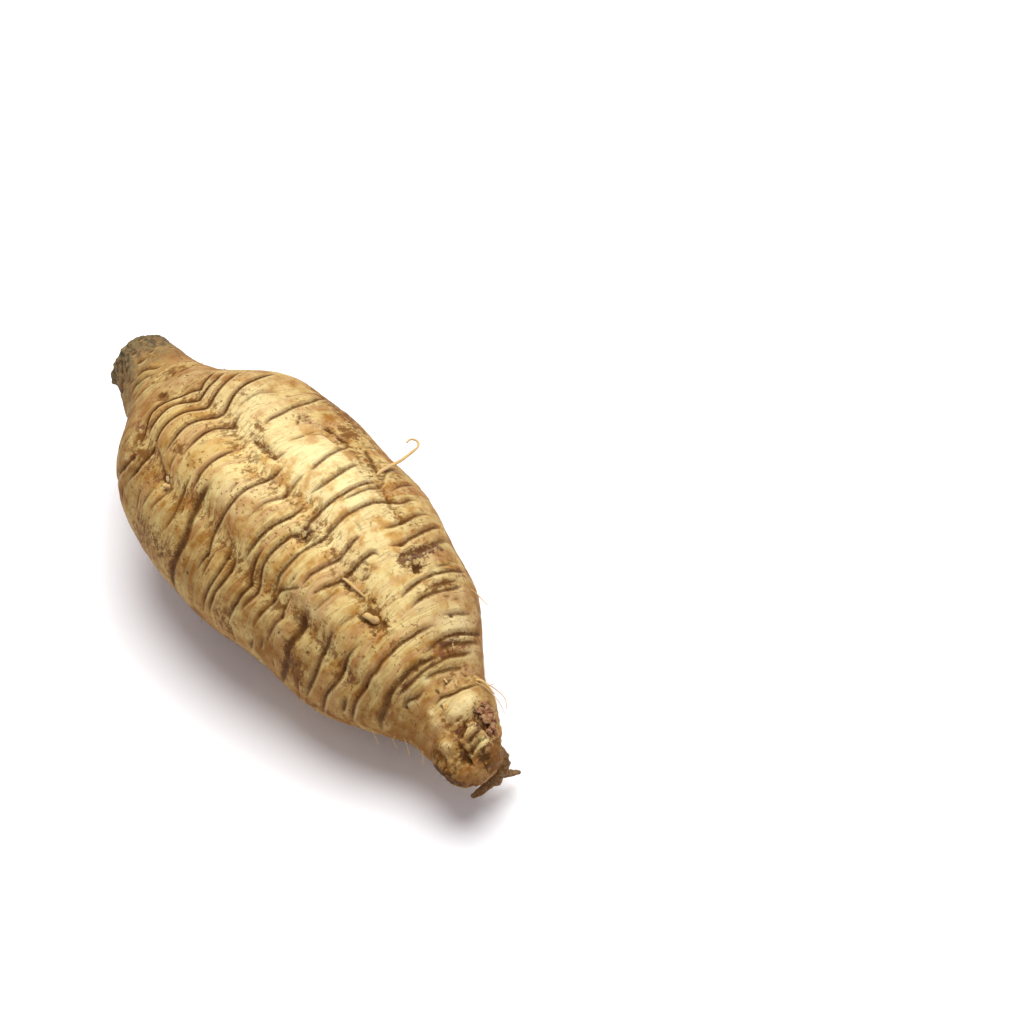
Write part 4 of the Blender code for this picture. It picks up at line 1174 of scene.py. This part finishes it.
def skin_material(colours):
    """Kudzu root bark: thin cork over starchy flesh, rubbed clean and air dried.

    It is matt and a little waxy, cream where it is thin, ochre where it is thick, with fine wrinkles and
    mottling that run round the root and dark soil left in the cracks. A painted highlight lightens its top
    and one lip of each crack; painted shade in earthy brown darkens its flanks, ends and furrows and the
    other side of each crack.
    """
    material, tree, surface, place = new_material("air_dried_root_bark", 0.72)
    bark_place = add_node(tree, "ShaderNodeAttribute", attribute_name="bark_place").outputs["Vector"]
    marks = {
        name: add_node(tree, "ShaderNodeAttribute", attribute_name=name).outputs["Fac"]
        for name in SKIN_MARKS + STAIN_KINDS
    }
    grain = {}
    for name, (size, detail, roughness, run) in SKIN_PATTERNS.items():
        turned = {"Vector": place if run == 1.0 else bark_place, "Scale": (1.0, run, run)}
        way = add_node(tree, "ShaderNodeMapping", turned).outputs[0]
        sizes = {"Vector": way, "Scale": 1 / (size * MM), "Detail": detail, "Roughness": roughness}
        grain[name] = add_node(tree, "ShaderNodeTexNoise", sizes).outputs["Fac"]
    clouds, mottle, fine, blots = (grain[name] for name in ("clouds", "mottle", "fine", "blots"))
    half_clouds = together(tree, "MULTIPLY", clouds, 0.55)

    # Thin and thick bark, with strips that run round between the rings
    tone = together(tree, "ADD", together(tree, "MULTIPLY", grain["broad"], 0.45), half_clouds)
    worn = together(tree, "ADD", half_clouds, together(tree, "MULTIPLY", mottle, 0.45))
    skin = lay(tree, (*colours.ochre, 1.0), colours.tan, (tone, 0.38, 0.58))
    skin = lay(tree, skin, colours.cream, (worn, 0.40, 0.66), 0.75)
    # Fewer rose strips under the painted highlight on the top
    less_under_highlight = (marks["top_highlight"], 0.1, 0.9, 1.0, 0.35)
    skin = lay(tree, skin, colours.rose, (grain["bands"], 0.50, 0.64, 0.0, 0.6), less_under_highlight)
    skin = lay(tree, skin, colours.cream, (grain["bands"], 0.48, 0.36, 0.0, 0.6))
    skin = lay(tree, skin, colours.ochre, (grain["streaks"], 0.54, 0.76), 0.3)
    skin = lay(tree, skin, colours.ochre, (blots, 0.52, 0.66), (tone, 0.6, 0.42, 0.1, 0.34))
    # A painted highlight on the top, and pale patches that are partly pale bark and partly painted
    # highlight
    skin = lay(tree, skin, colours.pale, marks["top_highlight"], (clouds, 0.4, 0.56, 0.1, 0.75))
    skin = lay(tree, skin, colours.pale, marks["pale"], (clouds, 0.3, 0.6, 0.5, 1.0))

    # Painted shade in an earthy brown on the flanks and ends, broken into clouds, and stains with ragged
    # edges
    shade_share = together(tree, "MULTIPLY", marks["flank_shade"], (marks["pale"], 0.0, 1.0, 1.0, 0.3))
    skin = lay(tree, skin, colours.flank_shade, shade_share, (tone, 0.36, 0.62, 0.95, 0.55))
    for kind in STAIN_KINDS[:-1]:
        ragged = together(tree, "ADD", marks[kind], (blots, 0.36, 0.62, -0.5, 0.0))
        skin = lay(tree, skin, getattr(colours, kind), (ragged, 0.0, 0.5, 0.0, 0.9))

    # Faint rings too thin to crack, broken off here and there
    edge = away_from(tree, grain["lines"], 0.5)
    skin = lay(tree, skin, colours.brown, (edge, 0.0, 0.035, 0.45, 0.0), (clouds, 0.44, 0.58))

    # Small brown freckles of 1.5 mm, fewer under the painted highlight on the top
    sparse = together(
        tree, "MULTIPLY", (grain["patches"], 0.42, 0.62, 0.25, 0.75),
        (marks["top_highlight"], 0.2, 0.9, 1.0, 0.35),
    )
    freckles = together(tree, "MULTIPLY", (grain["freckles"], 0.6, 0.68))
    skin = lay(tree, skin, colours.brown, freckles, sparse)

    # The weathered neck and its cut
    skin = lay(tree, skin, colours.neck, marks["neck"], (mottle, 0.3, 0.65, 0.45, 1.1))
    grimy = together(tree, "POWER", marks["neck"], 2.0)
    skin = lay(tree, skin, colours.grime, grimy, (grain["mould"], 0.46, 0.6), 0.85)
    skin = lay(tree, skin, colours.wood, marks["cut"], (fine, 0.3, 0.7, 0.8, 1.0))
    wavy = together(tree, "ADD", marks["cut_reach"], together(tree, "MULTIPLY", clouds, 0.6))
    count = together(tree, "MULTIPLY", wavy, CUT_RINGS)
    rings = add_node(tree, "ShaderNodeMath", {0: count}, operation="SINE").outputs[0]
    fibres = together(
        tree, "ADD", (rings, -0.3, 0.9, 0.0, 0.28), (marks["cut_reach"], 0.7, 0.94, 0.0, 0.5))
    skin = lay(tree, skin, colours.grime, fibres, marks["cut"])

    # Pits, and cracks with ragged edges and soil of uneven depth
    deep = together(tree, "ADD", marks["pit"], (fine, 0.2, 0.8, -0.25, 0.25))
    skin = lay(tree, skin, colours.crack, (deep, -0.05, 0.45), 0.85)
    across, dark = marks["crack_across"], marks["crack_dark"]
    # A painted highlight on the lip to the tip side of each crack
    lip = away_from(tree, across, 2.8)
    skin = lay(tree, skin, colours.pale, (lip, 0.3, 1.5, 0.3, 0.0), dark)
    # Painted shade in brown on the neck side of each crack
    shade = away_from(tree, across, -1.0)
    skin = lay(tree, skin, colours.brown, (shade, 1.0, 3.8, 0.65, 0.0), dark)
    ragged = together(tree, "ADD", away_from(tree, across, 0.0), (fine, 0.2, 0.8, -0.6, 0.6))
    line = together(tree, "MULTIPLY", (ragged, 0.5, 1.6, 1.0, 0.0), dark)
    skin = lay(tree, skin, colours.crack, line, (mottle, 0.3, 0.6, 0.75, 1.15))
    tree.links.new(skin, surface.inputs["Base Color"])

    # Wrinkles of 2 mm and a grain of 0.5 mm, as low relief
    relief = together(
        tree, "ADD", together(tree, "MULTIPLY", blots, 0.6),
        together(tree, "MULTIPLY", grain["pores"], 0.6),
    )
    bump = add_node(tree, "ShaderNodeBump", {"Height": relief, "Strength": 0.45, "Distance": 0.25 * MM})
    tree.links.new(bump.outputs[0], surface.inputs["Normal"])
    shine = together(tree, "MULTIPLY", (mottle, 0.3, 0.7, 0.62, 0.82))
    tree.links.new(shine, surface.inputs["Roughness"])
    return material


def plain_bark(name, first, second, size, roughness=0.75):
    """Bark of the small parts, in two shades that mottle at the given size, made only once."""
    if name in bpy.data.materials:
        return bpy.data.materials[name]
    material, tree, surface, place = new_material(name, roughness, 0.25)
    sizes = {"Vector": place, "Scale": 1 / (size * MM), "Detail": 3.0}
    mottle = add_node(tree, "ShaderNodeTexNoise", sizes).outputs["Fac"]
    fade = {"Value": mottle, "From Min": 0.38, "From Max": 0.62}
    share = add_node(tree, "ShaderNodeMapRange", fade).outputs[0]
    skin = lay(tree, (*first, 1.0), second, share)
    tree.links.new(skin, surface.inputs["Base Color"])
    bump = add_node(tree, "ShaderNodeBump", {"Height": mottle, "Strength": 0.5, "Distance": 0.3 * MM})
    tree.links.new(bump.outputs[0], surface.inputs["Normal"])
    return material


def tail_bark(colours):
    """Thick, dark cork of the tail, where the tuber thins to a plain root."""
    return plain_bark("corky_tail_bark", colours.tail, colours.brown, 1.4)


def rootlet_bark(colours):
    """Bare white wood of the thin rootlets, dried to a pale buff."""
    return plain_bark("dried_rootlet_wood", colours.rootlet, colours.tan, 1.0, 0.7)


def burr_bark(colours):
    """Rough callus that closed over broken rootlets, grey-pink and dusty."""
    return plain_bark("callus_burr", colours.burr, colours.reddish, 1.6, 0.85)


class KUDZU_OT_skin(bpy.types.Operator):
    """Makes the skin of the tuber, with its cracks, pits and stains"""

    bl_idname = "kudzu.skin"
    bl_label = "Root skin"

    def execute(self, context):
        skin = dress(make_skin(context.scene.kudzu_sizes), skin_material(context.scene.kudzu_colours))
        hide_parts(NODE)
        return {"FINISHED"}


class KUDZU_OT_tail(bpy.types.Operator):
    """Makes the tail that hooks away under the tip"""

    bl_idname = "kudzu.tail"
    bl_label = "Hooked tail"

    def execute(self, context):
        bark = tail_bark(context.scene.kudzu_colours)
        dress(make_strand("hooked_tail", TAIL_PATH, TAIL_THICK, 32, knobbly=0.6), bark)
        dress(make_strand("tail_branch", TAIL_BRANCH, TAIL_BRANCH_THICK, 20, knobbly=0.5), bark)
        return {"FINISHED"}


class KUDZU_OT_burrs(bpy.types.Operator):
    """Makes the rough burrs beside the tip"""

    bl_idname = "kudzu.burrs"
    bl_label = "Burrs"

    def execute(self, context):
        for number, (place, turn, radius) in enumerate(BURRS):
            burr = make_burr(f"burr_{number}", place, turn, radius)
            dress(burr, burr_bark(context.scene.kudzu_colours))
        return {"FINISHED"}


class KUDZU_OT_rootlets(bpy.types.Operator):
    """Makes the side rootlets and the stumps of broken ones"""

    bl_idname = "kudzu.rootlets"
    bl_label = "Rootlets"

    def execute(self, context):
        for name, first, last, *points in ROOTLETS:
            path = [on_skin(point) for point in points]
            strand = make_strand(name, path, np.linspace(first, last, len(path)), 14, knobbly=0.25)
            dress(strand, rootlet_bark(context.scene.kudzu_colours))
        return {"FINISHED"}


class KUDZU_OT_hairs(bpy.types.Operator):
    """Makes the dry threads and hairs"""

    bl_idname = "kudzu.hairs"
    bl_label = "Threads and hairs"

    def execute(self, context):
        wood = rootlet_bark(context.scene.kudzu_colours)
        for number, (thick, *points) in enumerate(THREADS):
            path = [on_skin(point) for point in points]
            dress(make_strand(f"thread_{number}", path, np.linspace(thick, thick / 2, len(path)), 6), wood)
        for number, points in enumerate(make_hairs()):
            path = [on_skin(point) for point in points]
            thicks = np.linspace(HAIR_THICK, HAIR_THICK / 3, len(path))
            dress(make_strand(f"hair_{number}", path, thicks, 5), wood)
        return {"FINISHED"}


class KUDZU_OT_flakes(bpy.types.Operator):
    """Makes the flakes of bark that lift off the skin"""

    bl_idname = "kudzu.flakes"
    bl_label = "Bark flakes"

    def execute(self, context):
        colours = context.scene.kudzu_colours
        for number, flake in enumerate(FLAKES):
            made = make_flake(f"flake_{number}", *flake)
            dark = flake[1] > DARK_FLAKES
            dress(made, tail_bark(colours) if dark else rootlet_bark(colours))
        return {"FINISHED"}


class KUDZU_OT_stage(bpy.types.Operator):
    """Makes the floor, the lights and the camera"""

    bl_idname = "kudzu.stage"
    bl_label = "Studio"

    def execute(self, context):
        clear_selection()
        bpy.ops.mesh.primitive_plane_add(size=FLOOR_SIZE * MM)
        floor = context.object
        floor.name = floor.data.name = "studio_floor"
        material, _, surface, _ = new_material("white_backdrop_paper", 0.95, 0.0)
        surface.inputs["Base Color"].default_value = (*context.scene.kudzu_colours.floor, 1.0)
        floor.data.materials.append(material)

        for name, place, size, power in LAMPS:
            bpy.ops.object.light_add(type="AREA", location=Vector(place) * MM)
            lamp = context.object
            lamp.name = lamp.data.name = name
            lamp.data.shape = "DISK"
            lamp.data.size = size * MM
            lamp.data.energy = power
            lamp.rotation_euler = (-Vector(place)).to_track_quat("-Z", "Y").to_euler()
        world = bpy.data.worlds.new("soft_studio")
        world.use_nodes = True
        world.node_tree.nodes["Background"].inputs["Strength"].default_value = SKY_STRENGTH
        world.node_tree.nodes["Background"].inputs["Color"].default_value = (*linear(SKY_COLOUR), 1.0)
        context.scene.world = world

        turn = [math.radians(angle) for angle in CAMERA_TURN]
        bpy.ops.object.camera_add(location=Vector(CAMERA_PLACE) * MM, rotation=turn)
        camera = context.object
        camera.name = camera.data.name = "product_camera"
        camera.data.lens = LENS
        camera.data.sensor_width = SENSOR
        context.scene.camera = camera
        context.scene.view_settings.view_transform = "Standard"
        return {"FINISHED"}


class KUDZU_PT_panel(bpy.types.Panel):
    bl_label = "Kudzu root"
    bl_idname = "KUDZU_PT_panel"
    bl_space_type = "VIEW_3D"
    bl_region_type = "UI"
    bl_category = "Kudzu root"

    def draw(self, context):
        for group in (context.scene.kudzu_sizes, context.scene.kudzu_colours):
            box = self.layout.box()
            for name in group.__annotations__:
                box.prop(group, name)
        for maker in MAKERS:
            self.layout.operator(maker.bl_idname)


MAKERS = (
    KUDZU_OT_stage,
    KUDZU_OT_skin,
    KUDZU_OT_tail,
    KUDZU_OT_burrs,
    KUDZU_OT_rootlets,
    KUDZU_OT_hairs,
    KUDZU_OT_flakes,
)
CLASSES = (KudzuSizes, KudzuColours, *MAKERS, KUDZU_PT_panel)


def register():
    for part in CLASSES:
        bpy.utils.register_class(part)
    bpy.types.Scene.kudzu_sizes = bpy.props.PointerProperty(type=KudzuSizes)
    bpy.types.Scene.kudzu_colours = bpy.props.PointerProperty(type=KudzuColours)


def unregister():
    del bpy.types.Scene.kudzu_colours
    del bpy.types.Scene.kudzu_sizes
    for part in reversed(CLASSES):
        bpy.utils.unregister_class(part)


def main():
    register()
    bpy.ops.kudzu.stage()
    bpy.ops.kudzu.skin()
    bpy.ops.kudzu.tail()
    bpy.ops.kudzu.burrs()
    bpy.ops.kudzu.rootlets()
    bpy.ops.kudzu.hairs()
    bpy.ops.kudzu.flakes()


if __name__ == "__main__":
    main()
